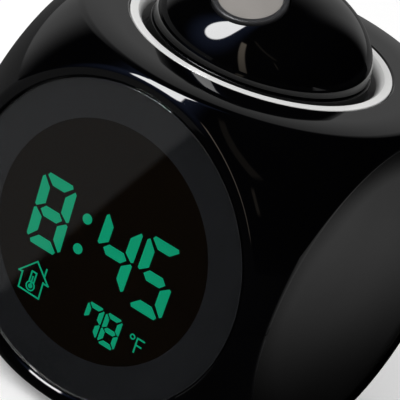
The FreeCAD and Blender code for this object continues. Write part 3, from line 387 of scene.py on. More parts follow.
class Effects:
    """The shared shader groups, each made once."""

    def __init__(self) -> None:
        """Makes every group."""
        self.grain = self.moulded_grain()
        self.mottle = self.soft_mottle()
        self.dust = self.settled_dust()

    @staticmethod
    def moulded_grain() -> bpy.types.NodeTree:
        """Fine moulded texture: broad noise with finer noise over it.

        Returns:
            The group.
        """
        tree, start, end = new_group("moulded_grain", {"Vector": None, "Scale": 3000.0, "Fine Share": 0.4},
                                     ["Height"])
        sums, source = Sums(tree), start.outputs
        broad, fine = (add_node(tree, "ShaderNodeTexNoise", Vector=source["Vector"], Detail=2.0,
                                Scale=sums.op("MULTIPLY", source["Scale"], ratio)).outputs["Fac"]
                       for ratio in (1.0, 2.7))
        feed(end, Height=sums.op("ADD", broad, sums.op("MULTIPLY", fine, source["Fine Share"])))
        return tree

    @staticmethod
    def soft_mottle() -> bpy.types.NodeTree:
        """Slow changes over the surface, as of handling and flow marks.

        Returns:
            The group.
        """
        tree, start, end = new_group("soft_mottle", {"Vector": None, "Scale": 40.0, "Low": 0.35, "High": 0.7},
                                     ["Mask"])
        source = start.outputs
        noise = add_node(tree, "ShaderNodeTexNoise", Vector=source["Vector"], Scale=source["Scale"], Detail=4.0)
        spread = add_node(tree, "ShaderNodeMapRange", Value=noise.outputs["Fac"], From_Min=source["Low"],
                          From_Max=source["High"])
        feed(end, Mask=spread.outputs["Result"])
        return tree

    @staticmethod
    def settled_dust() -> bpy.types.NodeTree:
        """Specks that lie on what faces upwards.

        Returns:
            The group.
        """
        tree, start, end = new_group("settled_dust", {"Vector": None, "Amount": 0.02}, ["Mask"])
        sums, normal = Sums(tree), tree.nodes.new("ShaderNodeNewGeometry").outputs["Normal"]
        upwards = add_node(tree, "ShaderNodeSeparateXYZ", Vector=normal).outputs["Z"]
        specks = add_node(tree, "ShaderNodeTexNoise", Vector=start.outputs["Vector"], Scale=900.0).outputs["Fac"]
        lies = sums.op("MULTIPLY", sums.rise(upwards, 0.2, 1.0), sums.rise(specks, 0.5, 0.75))
        feed(end, Mask=sums.op("MULTIPLY", lies, start.outputs["Amount"]))
        return tree


# ---------------------------------------------------------------- finishes

DUST_COLOUR = (0.35, 0.34, 0.32, 1)
UNLIT_COLOUR = (0.004, 0.01, 0.008, 1)


@dataclass(frozen=True)
class Finish:
    """One opaque finish, with grain, mottling and dust."""

    colour: tuple[float, float, float]
    rough: float = 0.4
    grain: float = 3000.0
    relief: float = 0.0
    vary: float = 0.12
    smudge: float = 0.04
    dust: float = 0.01
    metal: float = 0.0
    coat: float = 0.0
    shine: float = 0.5
    glow: float = 0.0
    pattern: Pattern = Pattern.EVEN

    def material(self, name: str, effects: Effects) -> bpy.types.Material:
        """Builds the finish's node material.

        Args:
            name: The material's name.
            effects: The shared groups.

        Returns:
            The material.
        """
        mat, skin, sums = new_material(name)
        tree = sums.tree
        place = add_node(tree, "ShaderNodeMapping", Vector=object_place(tree),
                         Scale=self.pattern.value).outputs["Vector"]

        def effect(group: bpy.types.NodeTree, **values: float) -> bpy.types.NodeSocket:
            """What one shared group gives here."""
            return add_node(tree, "ShaderNodeGroup", {"node_tree": group}, Vector=place, **values).outputs[0]

        mottle = effect(effects.mottle)
        dark, light = ((*(min(1.0, c * k) for c in self.colour), 1) for k in (1 - self.vary, 1 + self.vary))
        blend = add_node(tree, "ShaderNodeMix", {"data_type": "RGBA"}, Factor=mottle, A=dark, B=light)
        feed(skin, Roughness=sums.op("MULTIPLY_ADD", mottle, self.smudge, self.rough - self.smudge / 2),
             Metallic=self.metal, Coat_Weight=self.coat, Specular_IOR_Level=self.shine)
        if self.glow:
            feed(skin, Base_Color=UNLIT_COLOUR, Emission_Color=blend.outputs["Result"], Emission_Strength=self.glow)
        else:
            dusted = add_node(tree, "ShaderNodeMix", {"data_type": "RGBA"}, B=DUST_COLOUR,
                              Factor=effect(effects.dust, Amount=self.dust), A=blend.outputs["Result"])
            feed(skin, Base_Color=dusted.outputs["Result"])
        if self.relief:
            bump = add_node(tree, "ShaderNodeBump", Strength=1.0, Distance=self.relief * MM,
                            Height=effect(effects.grain, Scale=self.grain))
            feed(skin, Normal=bump.outputs["Normal"])
        return mat


@dataclass(frozen=True)
class ClearFinish:
    """A clear finish: light passes it, and only its faces shine."""

    colour: tuple[float, float, float]
    rough: float = 0.01
    smudge: float = 0.01
    index: float = 1.5

    def material(self, name: str, effects: Effects) -> bpy.types.Material:
        """Builds the clear material, with Transparent for shadow and diffuse rays.

        Args:
            name: The material's name.
            effects: The shared groups.

        Returns:
            The material.
        """
        mat, skin, sums = new_material(name)
        tree, tint = sums.tree, (*self.colour, 1)
        mottle = add_node(tree, "ShaderNodeGroup", {"node_tree": effects.mottle}, Vector=object_place(tree))
        feed(skin, Roughness=sums.op("MULTIPLY_ADD", mottle.outputs["Mask"], self.smudge, self.rough),
             Base_Color=tint, Transmission_Weight=1.0, IOR=self.index)
        clear = add_node(tree, "ShaderNodeBsdfTransparent", Color=tint)
        path = tree.nodes.new("ShaderNodeLightPath").outputs
        passes = sums.op("MAXIMUM", path["Is Shadow Ray"], path["Is Diffuse Ray"])
        show_either(tree, passes, skin.outputs["BSDF"], clear.outputs["BSDF"])
        return mat


FINISHES: dict[str, Finish | ClearFinish] = {
    "gloss_black": Finish((0.0008, 0.0008, 0.0010), 0.035, 60, 0.0004, 0.3, 0.02, 0.0004),
    "matte_black": Finish((0.0014, 0.0014, 0.0014), 0.30, 2600, 0.006, 0.15, 0.05, 0.001),
    "window": ClearFinish((0.98, 0.99, 0.99), 0.0, 0.003),
    "mask_grey": Finish((0.0105, 0.0108, 0.0120), 0.06, 900, 0.0, 0.05, 0.02, 0.0),
    "smoked_film": Finish((0.0027, 0.0015, 0.0006), 0.3, 900, 0.0, 0.1, 0.05, 0.0, shine=0.0),
    "sign_green": Finish((0.001, 0.27, 0.135), 0.5, 900, 0.0, 0.04, 0.05, 0.0, shine=0.0, glow=1.0),
    "display_glass": ClearFinish((0.75, 0.8, 0.78)),
    "diffuser": Finish((0.85, 0.88, 0.85), 0.35),
    "white_gloss": Finish((0.86, 0.86, 0.85), 0.08, 60, 0.0004, 0.01, 0.03, 0.004),
    "grey_plastic": Finish((0.030, 0.030, 0.032), 0.32, 3200, 0.004, 0.1, 0.06, 0.002),
    "clear_lens": ClearFinish((0.96, 0.96, 0.94)),
    "circuit_board": Finish((0.02, 0.16, 0.06), 0.3, 700, 0.01, 0.35),
    "black_part": Finish((0.015, 0.015, 0.016), 0.45, 4000, 0.004),
    "mixed_parts": Finish((0.4, 0.4, 0.38), 0.35, 1500, 0.004),
    "steel": Finish((0.6, 0.6, 0.6), 0.3, 2500, 0.002, metal=1.0, pattern=Pattern.ROLLED),
    "spring_steel": Finish((0.55, 0.55, 0.57), 0.22, 2500, 0.002, metal=1.0, pattern=Pattern.DRAWN),
    "rubber": Finish((0.02, 0.02, 0.02), 0.7, 2500, 0.02, 0.2, 0.1, 0.02),
    "cell_wrap": Finish((0.03, 0.06, 0.16), 0.22, 1200, 0.003, 0.2, pattern=Pattern.ROLLED),
    "magnet": Finish((0.08, 0.08, 0.085), 0.5, 3000, 0.01),
    "cone_paper": Finish((0.03, 0.03, 0.03), 0.85, 2200, 0.03, 0.3),
    "lamp": ClearFinish((0.95, 0.93, 0.7)),
    "silicone": Finish((0.5, 0.12, 0.16), 0.5, 1800, 0.004, 0.3, pattern=Pattern.ROLLED),
}
LOOKS: dict[str, Finish] = {
    "milky_lens": Finish((0.31, 0.292, 0.275), 0.07, 300, 0.0, 0.12, 0.02, 0.0, coat=0.6),
    "satin_collar": Finish((0.0008, 0.0008, 0.0010), 0.24, 60, 0.0, 0.3, 0.04, 0.0004, shine=0.35),
}


@dataclass
class Wardrobe:
    """Makes each material once and seats finished pieces on their bodies."""

    effects: Effects = field(default_factory=Effects)
    made: dict[str, bpy.types.Material] = field(default_factory=dict)

    def material(self, slot: str) -> bpy.types.Material:
        """The material of a slot, or of a look of its own."""
        if slot not in self.made:
            self.made[slot] = (LOOKS | FINISHES)[slot].material(slot, self.effects)
        return self.made[slot]

    def seat(self, piece: bpy.types.Object, body: str, slot: str, *nodes: str, look: str = "") -> None:
        """Dresses a piece, puts it on its body and reports it.

        Args:
            piece: The finished piece.
            body: The body that it rides on.
            slot: The record's slot for its finish.
            *nodes: CAD nodes that it stands for.
            look: A finish of its own in place of the slot's.
        """
        piece.data.materials.clear()
        piece.data.materials.append(self.material(look or slot))
        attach(piece, body)
        if nodes:
            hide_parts(*nodes)
        log.info("%s on %s, %d faces", piece.name, body, len(piece.data.polygons))

    def dress_frame(self) -> None:
        """Gives every CAD node the finish of its slot."""
        slots = {s["node"]: s["material_slot"] for s in frame["record"]["subparts"]}
        for name, node in frame["nodes"].items():
            mat = self.material(slots[name])
            if not node.material_slots:
                node.data.materials.append(mat)
            for slot in node.material_slots:
                slot.material = mat


# ---------------------------------------------------------------- what repeats


@dataclass
class NodeMaker:
    """Builds a Geometry Nodes tree with named inputs and bakes it to a plain mesh."""

    name: str
    inputs: dict[str, float]
    tree: bpy.types.NodeTree = field(init=False)
    start: bpy.types.Node = field(init=False)
    end: bpy.types.Node = field(init=False)

    def __post_init__(self) -> None:
        """Makes the tree and its sockets."""
        self.tree = bpy.data.node_groups.new(self.name, "GeometryNodeTree")
        face = self.tree.interface
        face.new_socket(name="Geometry", in_out="INPUT", socket_type="NodeSocketGeometry")
        for label in self.inputs:
            kind = "NodeSocketInt" if label.endswith("Count") else "NodeSocketFloat"
            face.new_socket(name=label, in_out="INPUT", socket_type=kind)
        face.new_socket(name="Material", in_out="INPUT", socket_type="NodeSocketMaterial")
        face.new_socket(name="Geometry", in_out="OUTPUT", socket_type="NodeSocketGeometry")
        self.start, self.end = self.tree.nodes.new("NodeGroupInput"), self.tree.nodes.new("NodeGroupOutput")

    def node(self, kind: str, settings: dict[str, object] | None = None, **links: object) -> bpy.types.Node:
        """Adds a node to the tree, as add_node does."""
        return add_node(self.tree, kind, settings, **links)

    def vector(self, x: object = 0.0, y: object = 0.0, z: object = 0.0) -> bpy.types.NodeSocket:
        """A vector put together from three numbers or sockets."""
        return self.node("ShaderNodeCombineXYZ", X=x, Y=y, Z=z).outputs[0]

    def finish(self, shape: bpy.types.NodeSocket) -> None:
        """Ends the tree in Realize Instances and Set Material.

        Args:
            shape: The geometry so far.
        """
        real = self.node("GeometryNodeRealizeInstances", Geometry=shape)
        dressed = self.node("GeometryNodeSetMaterial", Geometry=real.outputs[0],
                            Material=self.start.outputs["Material"])
        feed(self.end, Geometry=dressed.outputs[0])

    def bake(self, obj: bpy.types.Object, mat: bpy.types.Material) -> bpy.types.Object:
        """Runs the tree on an object and keeps the result as its plain mesh.

        Args:
            obj: The object that the tree starts from.
            mat: The material of the result.

        Returns:
            The same object.
        """
        modifier = obj.modifiers.new(self.name, "NODES")
        modifier.node_group = self.tree
        for item in self.tree.interface.items_tree:
            if item.in_out == "INPUT" and item.name in self.inputs:
                value = self.inputs[item.name]
                modifier[item.identifier] = int(value) if item.name.endswith("Count") else float(value)
            elif item.in_out == "INPUT" and item.name == "Material":
                modifier[item.identifier] = mat
        graph = bpy.context.evaluated_depsgraph_get()
        mesh = bpy.data.meshes.new_from_object(obj.evaluated_get(graph))
        obj.modifiers.clear()
        obj.data = mesh
        mesh.name = obj.name
        return obj


@dataclass
class BasePlate:
    """The flat of the underside, with the loudspeaker's holes and the sensor's slots."""

    radius: float = 36.0
    low: float = 2.4
    high: float = 4.6
    hole: float = 0.8
    pitch: float = 2.6
    reach: float = 10.5
    rows: int = 11
    slot_x: float = -30.0
    slot_length: float = 6.0
    slot_width: float = 0.9
    slot_pitch: float = 2.2
    slot_count: int = 3
    through: float = 12.0

    def pins(self, maker: NodeMaker, maths: Sums) -> bpy.types.NodeSocket:
        """Sets out round pins in staggered rows, within reach of the loudspeaker's middle.

        Args:
            maker: The tree's maker.
            maths: The writer of its sums.

        Returns:
            The pins' socket.
        """
        start, steps = maker.start.outputs, float(self.rows - 1)
        row = maths.op("MULTIPLY", start["Pitch"], math.sqrt(0.75))
        grid = maker.node("GeometryNodeMeshGrid", Size_X=maths.op("MULTIPLY", start["Pitch"], steps),
                          Size_Y=maths.op("MULTIPLY", row, steps), Vertices_X=self.rows, Vertices_Y=self.rows)
        place = maker.node("GeometryNodeInputPosition").outputs[0]
        depth = maker.node("ShaderNodeSeparateXYZ", Vector=place).outputs["Y"]
        odd = maths.op("FLOORED_MODULO", maths.op("ROUND", maths.op("DIVIDE", depth, row)), 2.0)
        shift = maths.op("MULTIPLY", odd, maths.op("MULTIPLY", start["Pitch"], 0.5))
        moved = maker.node("GeometryNodeSetPosition", Geometry=grid.outputs["Mesh"],
                           Offset=maker.vector(shift, 0.0, start["Level"]))
        flat = maker.node("ShaderNodeVectorMath", {"operation": "MULTIPLY"},
                          Vector=maker.node("GeometryNodeInputPosition").outputs[0])
        flat.inputs[1].default_value = (1, 1, 0)
        away = maker.node("ShaderNodeVectorMath", {"operation": "LENGTH"}, Vector=flat.outputs[0])
        drop = maker.node("FunctionNodeCompare", {"operation": "GREATER_THAN"}, A=away.outputs["Value"],
                          B=start["Reach"])
        kept = maker.node("GeometryNodeDeleteGeometry", Geometry=moved.outputs[0], Selection=drop.outputs[0])
        pin = maker.node("GeometryNodeMeshCylinder", Vertices=20, Radius=start["Hole Radius"],
                         Depth=self.through * MM)
        return maker.node("GeometryNodeInstanceOnPoints", Points=kept.outputs[0],
                          Instance=pin.outputs["Mesh"]).outputs[0]

    def bars(self, maker: NodeMaker, maths: Sums) -> bpy.types.NodeSocket:
        """Sets out bars in a row at the temperature sensor.

        Args:
            maker: The tree's maker.
            maths: The writer of its sums.

        Returns:
            The bars' socket.
        """
        start = maker.start.outputs
        first = maths.op("MULTIPLY", start["Slot Pitch"], -1.0)
        row = maker.node("GeometryNodeMeshLine", Count=start["Slot Count"],
                         Start_Location=maker.vector(start["Slot Place"], first, start["Level"]),
                         Offset=maker.vector(0.0, start["Slot Pitch"], 0.0))
        size = maker.vector(start["Slot Length"], start["Slot Width"], self.through * MM)
        bar = maker.node("GeometryNodeMeshCube", Size=size)
        return maker.node("GeometryNodeInstanceOnPoints", Points=row.outputs[0],
                          Instance=bar.outputs["Mesh"]).outputs[0]

    def build(self, wardrobe: Wardrobe) -> None:
        """Cuts the pattern out of a plain disc.

        Args:
            wardrobe: Makes the finish and seats the piece.
        """
        low, high = self.low - CENTRE.z, self.high - CENTRE.z
        outline = lines((0, low), (self.radius, low), (self.radius, high), (0, high))
        plate = Skin().turned(TOP, outline, 96).piece("base_plate")
        plate.data.polygons.foreach_set("use_smooth", [False] * len(plate.data.polygons))
        if "custom_normal" in plate.data.attributes:
            plate.data.attributes.remove(plate.data.attributes["custom_normal"])
        maker = NodeMaker("grille_holes", {
            "Hole Radius": self.hole * MM, "Pitch": self.pitch * MM, "Reach": self.reach * MM,
            "Level": self.low * MM, "Slot Place": self.slot_x * MM, "Slot Length": self.slot_length * MM,
            "Slot Width": self.slot_width * MM, "Slot Pitch": self.slot_pitch * MM, "Slot Count": self.slot_count})
        maths, tools = Sums(maker.tree), maker.node("GeometryNodeJoinGeometry")
        for source in (self.pins(maker, maths), self.bars(maker, maths)):
            maker.tree.links.new(source, tools.inputs[0])
        solid = maker.node("GeometryNodeRealizeInstances", Geometry=tools.outputs[0])
        cut = maker.node("GeometryNodeMeshBoolean", {"operation": "DIFFERENCE", "solver": "EXACT"})
        maker.tree.links.new(maker.start.outputs["Geometry"], cut.inputs[0])
        maker.tree.links.new(solid.outputs[0], cut.inputs[1])
        maker.finish(cut.outputs[0])
        wardrobe.seat(maker.bake(plate, wardrobe.material("gloss_black")), "housing", "gloss_black")


@dataclass
class DoorRibs:
    """Rows of small ribs that give a thumb its hold on the battery door."""

    count: int = 5
    pitch: float = 1.6
    length: float = 14.0
    radius: float = 0.32
    face: float = 41.5
    height: float = 43.0

    def build(self, wardrobe: Wardrobe) -> None:
        """Lays the ribs up the door.

        Args:
            wardrobe: Makes the finish and seats the piece.
        """
        maker = NodeMaker("door_ribs", {
            "Rib Count": self.count, "Pitch": self.pitch * MM, "Length": self.length * MM,
            "Radius": self.radius * MM, "Face": self.face * MM, "Height": self.height * MM})
        start = maker.start.outputs
        row = maker.node("GeometryNodeMeshLine", Count=start["Rib Count"],
                         Start_Location=maker.vector(0.0, start["Face"], start["Height"]),
                         Offset=maker.vector(0.0, 0.0, start["Pitch"]))
        bar = maker.node("GeometryNodeMeshCylinder", Vertices=16, Radius=start["Radius"], Depth=start["Length"])
        ribs = maker.node("GeometryNodeInstanceOnPoints", Points=row.outputs[0], Instance=bar.outputs["Mesh"],
                          Rotation=(0.0, math.pi / 2, 0.0))
        maker.finish(ribs.outputs[0])
        piece = Skin().piece("door_ribs")
        wardrobe.seat(maker.bake(piece, wardrobe.material("matte_black")), "battery_door", "matte_black")


@dataclass
class ReturnCoil:
    """The wire spring under the dome's carrier, which shortens when the dome is pressed."""

    wire: float = 0.9
    turns: float = 4.0
    travel: float = 2.0
    clearance: float = 0.1

    def build(self, wardrobe: Wardrobe) -> None:
        """Winds the wire up a spiral and seats it on the housing.

        Args:
            wardrobe: Makes the finish and seats the piece.
        """
        low, high = box_of("return_spring")
        radius, tall = (high.x - low.x - self.wire) / 2, high.z - low.z
        maker = NodeMaker("return_coil", {
            "Radius": radius * MM, "Wire Radius": self.wire / 2 * MM, "Turns": self.turns,
            "Height": (tall - self.wire) * MM, "Level": (low.z + self.wire / 2) * MM})
        start = maker.start.outputs
        path = maker.node("GeometryNodeCurveSpiral", Resolution=48, Rotations=start["Turns"],
                          Start_Radius=start["Radius"], End_Radius=start["Radius"], Height=start["Height"])
        ring = maker.node("GeometryNodeCurvePrimitiveCircle", Resolution=12, Radius=start["Wire Radius"])
        tube = maker.node("GeometryNodeCurveToMesh", Curve=path.outputs[0], Profile_Curve=ring.outputs[0],
                          Fill_Caps=True)
        moved = maker.node("GeometryNodeSetPosition", Geometry=tube.outputs[0],
                           Offset=maker.vector(0.0, 0.0, start["Level"]))
        maker.finish(moved.outputs[0])
        piece = maker.bake(Skin().piece("return_coil"), wardrobe.material("spring_steel"))
        wardrobe.seat(piece, "housing", "spring_steel", "return_spring")
        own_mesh(piece)


# ---------------------------------------------------------------- sub-assemblies


@dataclass(frozen=True)
class Mouth:
    """A round opening in one face of the housing."""

    spot: Spot
    flat: float
    opening: float
    ledge: float
    inner: float
    back: float
    bevel: float = 0.3
    tip: float = 0.0
    crown: float = 0.0


@dataclass
class Housing:
    """The rounded die: a ball cut by six flats, with soft edges, in two halves."""

    ball: float = 57.2
    inside: float = 55.0
    fillet: float = 2.6
    share: float = 0.9457
    per_edge: int = 40
    groove_half: float = 0.12
    groove_depth: float = 0.3
    mouths: tuple[Mouth, ...] = (
        Mouth(FRONT, 42.3, 36.35, 40.0, 34.4, 38.2), Mouth(BACK, 42.3, 36.35, 39.7, 34.4, 37.9),
        Mouth(RIGHT, 42.3, 37.35, 39.9, 35.4, 38.1), Mouth(LEFT, 42.3, 37.35, 39.9, 35.4, 38.1),
        Mouth(TOP, 40.5, 30.15, 39.3, 28.9, 38.3, 0.3, 8.0, 40.0), Mouth(UNDER, 40.5, 36.0, 40.3, 35.9, 38.3, 0.0))

    def profile(self, mouth: Mouth, lean: float) -> list[Run]:
        """The wall's section from the cell's edge to the opening and back inside.

        Args:
            mouth: The face's opening.
            lean: Angle of the cell's edge from the face's axis in degrees.

        Returns:
            The runs; the last one is the inside.
        """
        f, core, tip = self.fillet, self.ball - self.fillet, math.radians(mouth.tip)
        height = mouth.flat - f * math.cos(tip) - mouth.crown * (1 - math.cos(tip))
        cap, out = math.degrees(math.acos(height / core)), math.sqrt(core ** 2 - height ** 2)
        start = mouth.opening + mouth.bevel
        over = max(0.0, start - out) / f
        runs = [arc(0, 0, self.ball, 90 - lean, 90 - cap, 6),
                arc(out, height, f, 90 - cap, 90 - max(mouth.tip, math.degrees(math.asin(over))), 14)]
        if mouth.tip:
            runs.append(arc(out + (f - mouth.crown) * math.sin(tip), height + (f - mouth.crown) * math.cos(tip),
                            mouth.crown, 90 - mouth.tip, 90, 10))
        at = (runs[-1][-1][0], runs[-1][-1][1])
        points = [at]
        if not over:
            points.append((start, mouth.flat))
        if mouth.bevel:
            points.append((mouth.opening, mouth.flat - mouth.bevel))
        points += [(mouth.opening, mouth.ledge), (mouth.inner, mouth.ledge), (mouth.inner, mouth.back)]
        runs += lines(*points)
        angle = math.radians(lean)
        runs.append(line(mouth.inner, mouth.back, self.inside * math.sin(angle), self.inside * math.cos(angle)))
        return runs

    def cell(self, skin: Skin, mouth: Mouth, half: int) -> None:
        """Adds one face's part of one half.

        Args:
            skin: The half's skin.
            mouth: The face's opening.
            half: 1 for the upper half and -1 for the lower.
        """
        n, level = self.per_edge, mouth.spot.axis.z == 0
        wide, high, deep = (1.0, self.share, 1.0) if level else (1.0, 1.0, self.share)
        steps = [2 * k / n - 1 for k in range(n)]
        rim = [(1, t) for t in steps] + [(-s, 1) for s in steps]
        rim += [(-1, -t) for t in steps] + [(s, -1) for s in steps]
        columns, seams = [], []
        if level:
            first = rim.index((1, 0.0)) if half > 0 else rim.index((-1, 0.0))
            rim = [rim[(first + k) % (4 * n)] for k in range(2 * n + 1)]
        elif mouth.spot.axis.z != half:
            return
        for s, t in rim:
            x, y = wide * s, high * t
            runs = self.profile(mouth, math.degrees(math.atan2(math.hypot(x, y), deep)))
            column = mouth.spot.column(runs, math.atan2(y, x))
            if level and t == 0:
                lift = Vector((0, 0, half * self.groove_half))
                column = [[(p + lift, q) for p, q in run] for run in column]
                seams.append(column)
            columns.append(column)
        skin.sweep(columns, closed=not level)
        for column in seams:
            self.seam(skin, column, half)

    def seam(self, skin: Skin, column: list[list[Corner]], half: int) -> None:
        """Closes a half where it meets the other, with the groove's step.

        Args:
            skin: The half's skin.
            column: The wall's section there.
            half: 1 for the upper half and -1 for the lower.
        """
        facing = Vector((0, 0, -half))
        outer = [(p, q) for run in column[:-1] for p, q in run[:-1]] + [column[-1][0]]
        rings = []
        for k, (p, q) in enumerate(outer):
            depth = self.groove_depth if k < len(outer) - 3 else 0.0
            step = p - q * depth
            rings.append((p, step, Vector((step.x, step.y, CENTRE.z)), q))
        for (a, b, c, q), (d, e, f, g) in zip(rings, rings[1:]):
            skin.face([(a, facing), (d, facing), (e, facing), (b, facing)])
            skin.face([(b, q), (e, g), (f, g), (c, q)])
        end = column[-1][-1][0]
        flat_end = Vector((end.x, end.y, CENTRE.z))
        skin.face([(c, facing) for _, _, c, _ in rings] + [(flat_end, facing)])

    def build(self, wardrobe: Wardrobe) -> None:
        """Makes both halves."""
        for name, half in (("upper_housing", 1), ("lower_housing", -1)):
            skin = Skin()
            for mouth in self.mouths:
                self.cell(skin, mouth, half)
            wardrobe.seat(skin.piece(name + "_skin"), "housing", "gloss_black", name)


@dataclass
class FrontWindow:
    """The round window: clear disc, printed ring and dark film."""

    radius: float = 36.0
    face: float = 42.0
    thick: float = 1.0
    edge: float = 0.2
    ring_inner: float = 27.2
    ring_outer: float = 35.8
    film_radius: float = 29.2
    print_gap: float = 0.03
    print_depth: float = 0.2

    def build(self, wardrobe: Wardrobe) -> None:
        """Makes the three discs.

        Args:
            wardrobe: Makes the finishes and seats the pieces.
        """
        r, face, e = self.radius, self.face, self.edge
        back = face - self.thick
        disc = lines((0, back), (r, back), (r, face - e)) + [arc(r - e, face - e, e, 0, 90, 4)]
        disc += lines((r - e, face), (0, face))
        wardrobe.seat(Skin().turned(FRONT, disc, 192).piece("front_window"), "housing", "window", "front_glass")
        top, low = back - self.print_gap, back - self.print_depth
        ring = lines((self.ring_inner, low), (self.ring_outer, low), (self.ring_outer, top),
                     (self.ring_inner, top), (self.ring_inner, low))
        wardrobe.seat(Skin().turned(FRONT, ring, 192).piece("printed_ring"), "housing", "mask_grey",
                      "display_mask")
        low_corner, high_corner = box_of("smoked_filter")
        front, rear = -low_corner.y, -high_corner.y
        film = lines((0, rear), (self.film_radius, rear), (self.film_radius, front), (0, front))
        wardrobe.seat(Skin().turned(FRONT, film, 128).piece("dark_film"), "housing", "smoked_film",
                      "smoked_filter")


@dataclass(frozen=True)
class Numeral:
    """One numeral of seven bars, with its place, size, stroke and lean."""

    text: str
    left: float
    base: float
    wide: float
    tall: float
    stroke: float
    lean: float = 0.0

    def bars(self) -> list[Outline]:
        """Draws the lit bars.

        Returns:
            Their outlines, across and up from the window's middle.
        """
        w, h, s, k, m = self.wide, self.tall, self.stroke, self.stroke / 2.5, 0.487 * self.tall
        top = [(1.2 * k, h - 0.7 * k), (1.6 * k, h), (w - 1.6 * k, h), (w - 1.2 * k, h - 0.7 * k),
               (w - 3.1 * k, h - s), (3.1 * k, h - s)]
        upper = [(0, m + 0.5 * k), (0, h - 1.6 * k), (0.5 * k, h - 1.15 * k), (s, h - s - 0.9 * k),
                 (s, m + s / 2 + 0.45 * k), (0.5 * k, m + 0.2 * k)]
        lower = [(0, m - 0.5 * k), (0, 1.6 * k), (0.5 * k, 1.15 * k), (s, s + 0.9 * k),
                 (s, m - s / 2 - 0.45 * k), (0.5 * k, m - 0.2 * k)]
        cross = [(1.75 * k, m), (2.9 * k, m + s / 2), (w - 2.9 * k, m + s / 2), (w - 1.75 * k, m),
                 (w - 2.9 * k, m - s / 2), (2.9 * k, m - s / 2)]
        shapes = {"a": top, "b": [(w - x, y) for x, y in upper], "c": [(w - x, y) for x, y in lower],
                  "d": [(x, h - y) for x, y in top], "e": lower, "f": upper, "g": cross}
        lit = {"8": "abcdefg", "4": "bcfg", "5": "acdfg", "7": "abcf"}[self.text]
        return [[(self.left + x + self.lean * y, self.base + y) for x, y in shapes[bar]] for bar in lit]


@dataclass
class LitSigns:
    """Everything that is lit behind the window: time, temperature and the house sign."""

    numerals: tuple[Numeral, ...] = (
        Numeral("8", -18.15, -8.8, 9.3, 17.0, 2.45, -0.028), Numeral("4", -1.15, -8.9, 9.75, 17.0, 2.5, 0.022),
        Numeral("5", 10.0, -9.4, 9.35, 17.6, 2.5, 0.018), Numeral("7", 1.4, -21.2, 4.5, 7.7, 1.12, 0.02),
        Numeral("8", 6.4, -21.3, 4.55, 7.75, 1.12, 0.02))
    colon: tuple[tuple[float, float], ...] = ((-5.0, 3.15), (-5.0, -4.25))
    colon_radius: float = 1.2
    stroke: float = 0.34
    house: tuple[Stroke, ...] = (
        (-17.2, -16.2, -13.35, -12.15), (-13.35, -12.15, -9.1, -16.1), (-17.2, -16.2, -16.3, -16.2),
        (-16.25, -16.1, -16.1, -19.9), (-16.1, -19.9, -10.4, -20.0), (-10.4, -20.0, -10.5, -16.0),
        (-10.5, -16.1, -9.1, -16.1), (-10.6, -12.7, -10.6, -14.5))
    thermometer: tuple[Stroke, ...] = (
        (-13.95, -14.85, -13.95, -17.4), (-12.7, -14.85, -12.7, -17.4), (-13.95, -14.85, -12.7, -14.85),
        (-13.33, -16.0, -13.33, -18.2))
    letter: tuple[Stroke, ...] = (
        (15.6, -15.2, 15.6, -18.6), (15.6, -15.2, 17.4, -15.2), (15.6, -16.85, 17.0, -16.85))
    rounds: tuple[tuple[float, ...], ...] = (
        (-13.33, -18.3, 1.2, 0.9), (-13.33, -18.3, 0.55), (14.3, -15.5, 0.68, 0.38))

    def bar(self, x0: float, y0: float, x1: float, y1: float) -> Outline:
        """A straight stroke's outline.

        Args:
            x0: Start, across.
            y0: Start, up.
            x1: End, across.
            y1: End, up.

        Returns:
            The four corners.
        """
        length, half = math.hypot(x1 - x0, y1 - y0), self.stroke / 2
        dx, dy = (x1 - x0) / length * half, (y1 - y0) / length * half
        return [(x0 - dx - dy, y0 - dy + dx), (x1 + dx - dy, y1 + dy + dx), (x1 + dx + dy, y1 + dy - dx),
                (x0 - dx + dy, y0 - dy - dx)]

    def round(self, x: float, y: float, outer: float, inner: float = 0.0) -> list[Outline]:
        """A dot or a ring in outlines.

        Args:
            x: Centre, across.
            y: Centre, up.
            outer: Outer radius.
            inner: Inner radius, 0 for a dot.

        Returns:
            The outlines.
        """
        ways = [(math.cos(math.radians(12 * k)), math.sin(math.radians(12 * k))) for k in range(31)]
        if not inner:
            return [[(x + outer * c, y + outer * s) for c, s in ways[:-1]]]
        return [[(x + inner * a, y + inner * b), (x + outer * a, y + outer * b), (x + outer * c, y + outer * d),
                 (x + inner * c, y + inner * d)] for (a, b), (c, d) in zip(ways, ways[1:])]

    def outlines(self) -> list[Outline]:
        """Draws every sign.

        Returns:
            The outlines, across and up from the window's middle.
        """
        shapes = [bar for numeral in self.numerals for bar in numeral.bars()]
        for x, y in self.colon:
            shapes += self.round(x, y, self.colon_radius)
        shapes += [self.bar(*stroke) for stroke in self.house + self.thermometer + self.letter]
        for spec in self.rounds:
            shapes += self.round(*spec)
        return shapes

    def build(self, wardrobe: Wardrobe) -> None:
        """Cuts every sign from one thin sheet in front of the film.

        Args:
            wardrobe: Makes the finish and seats the piece.
        """
        low, high = box_of("display_signs")
        skin = Skin()
        for shape in self.outlines():
            ahead, behind = ([Vector((x, depth, CENTRE.z + y)) for x, y in shape] for depth in (low.y, high.y))
            skin.face([(p, FRONT.axis) for p in ahead])
            skin.face([(p, BACK.axis) for p in behind])
            heart = sum(ahead, Vector()) / len(ahead)
            for k in range(len(shape)):
                a, b, c, d = ahead[k - 1], ahead[k], behind[k], behind[k - 1]
                side = (b - a).cross(BACK.axis).normalized()
                side = side if side.dot(a - heart) > 0 else -side
                skin.face([(p, side) for p in (a, b, c, d)])
        wardrobe.seat(skin.piece("lit_signs"), "housing", "sign_green", "display_signs")


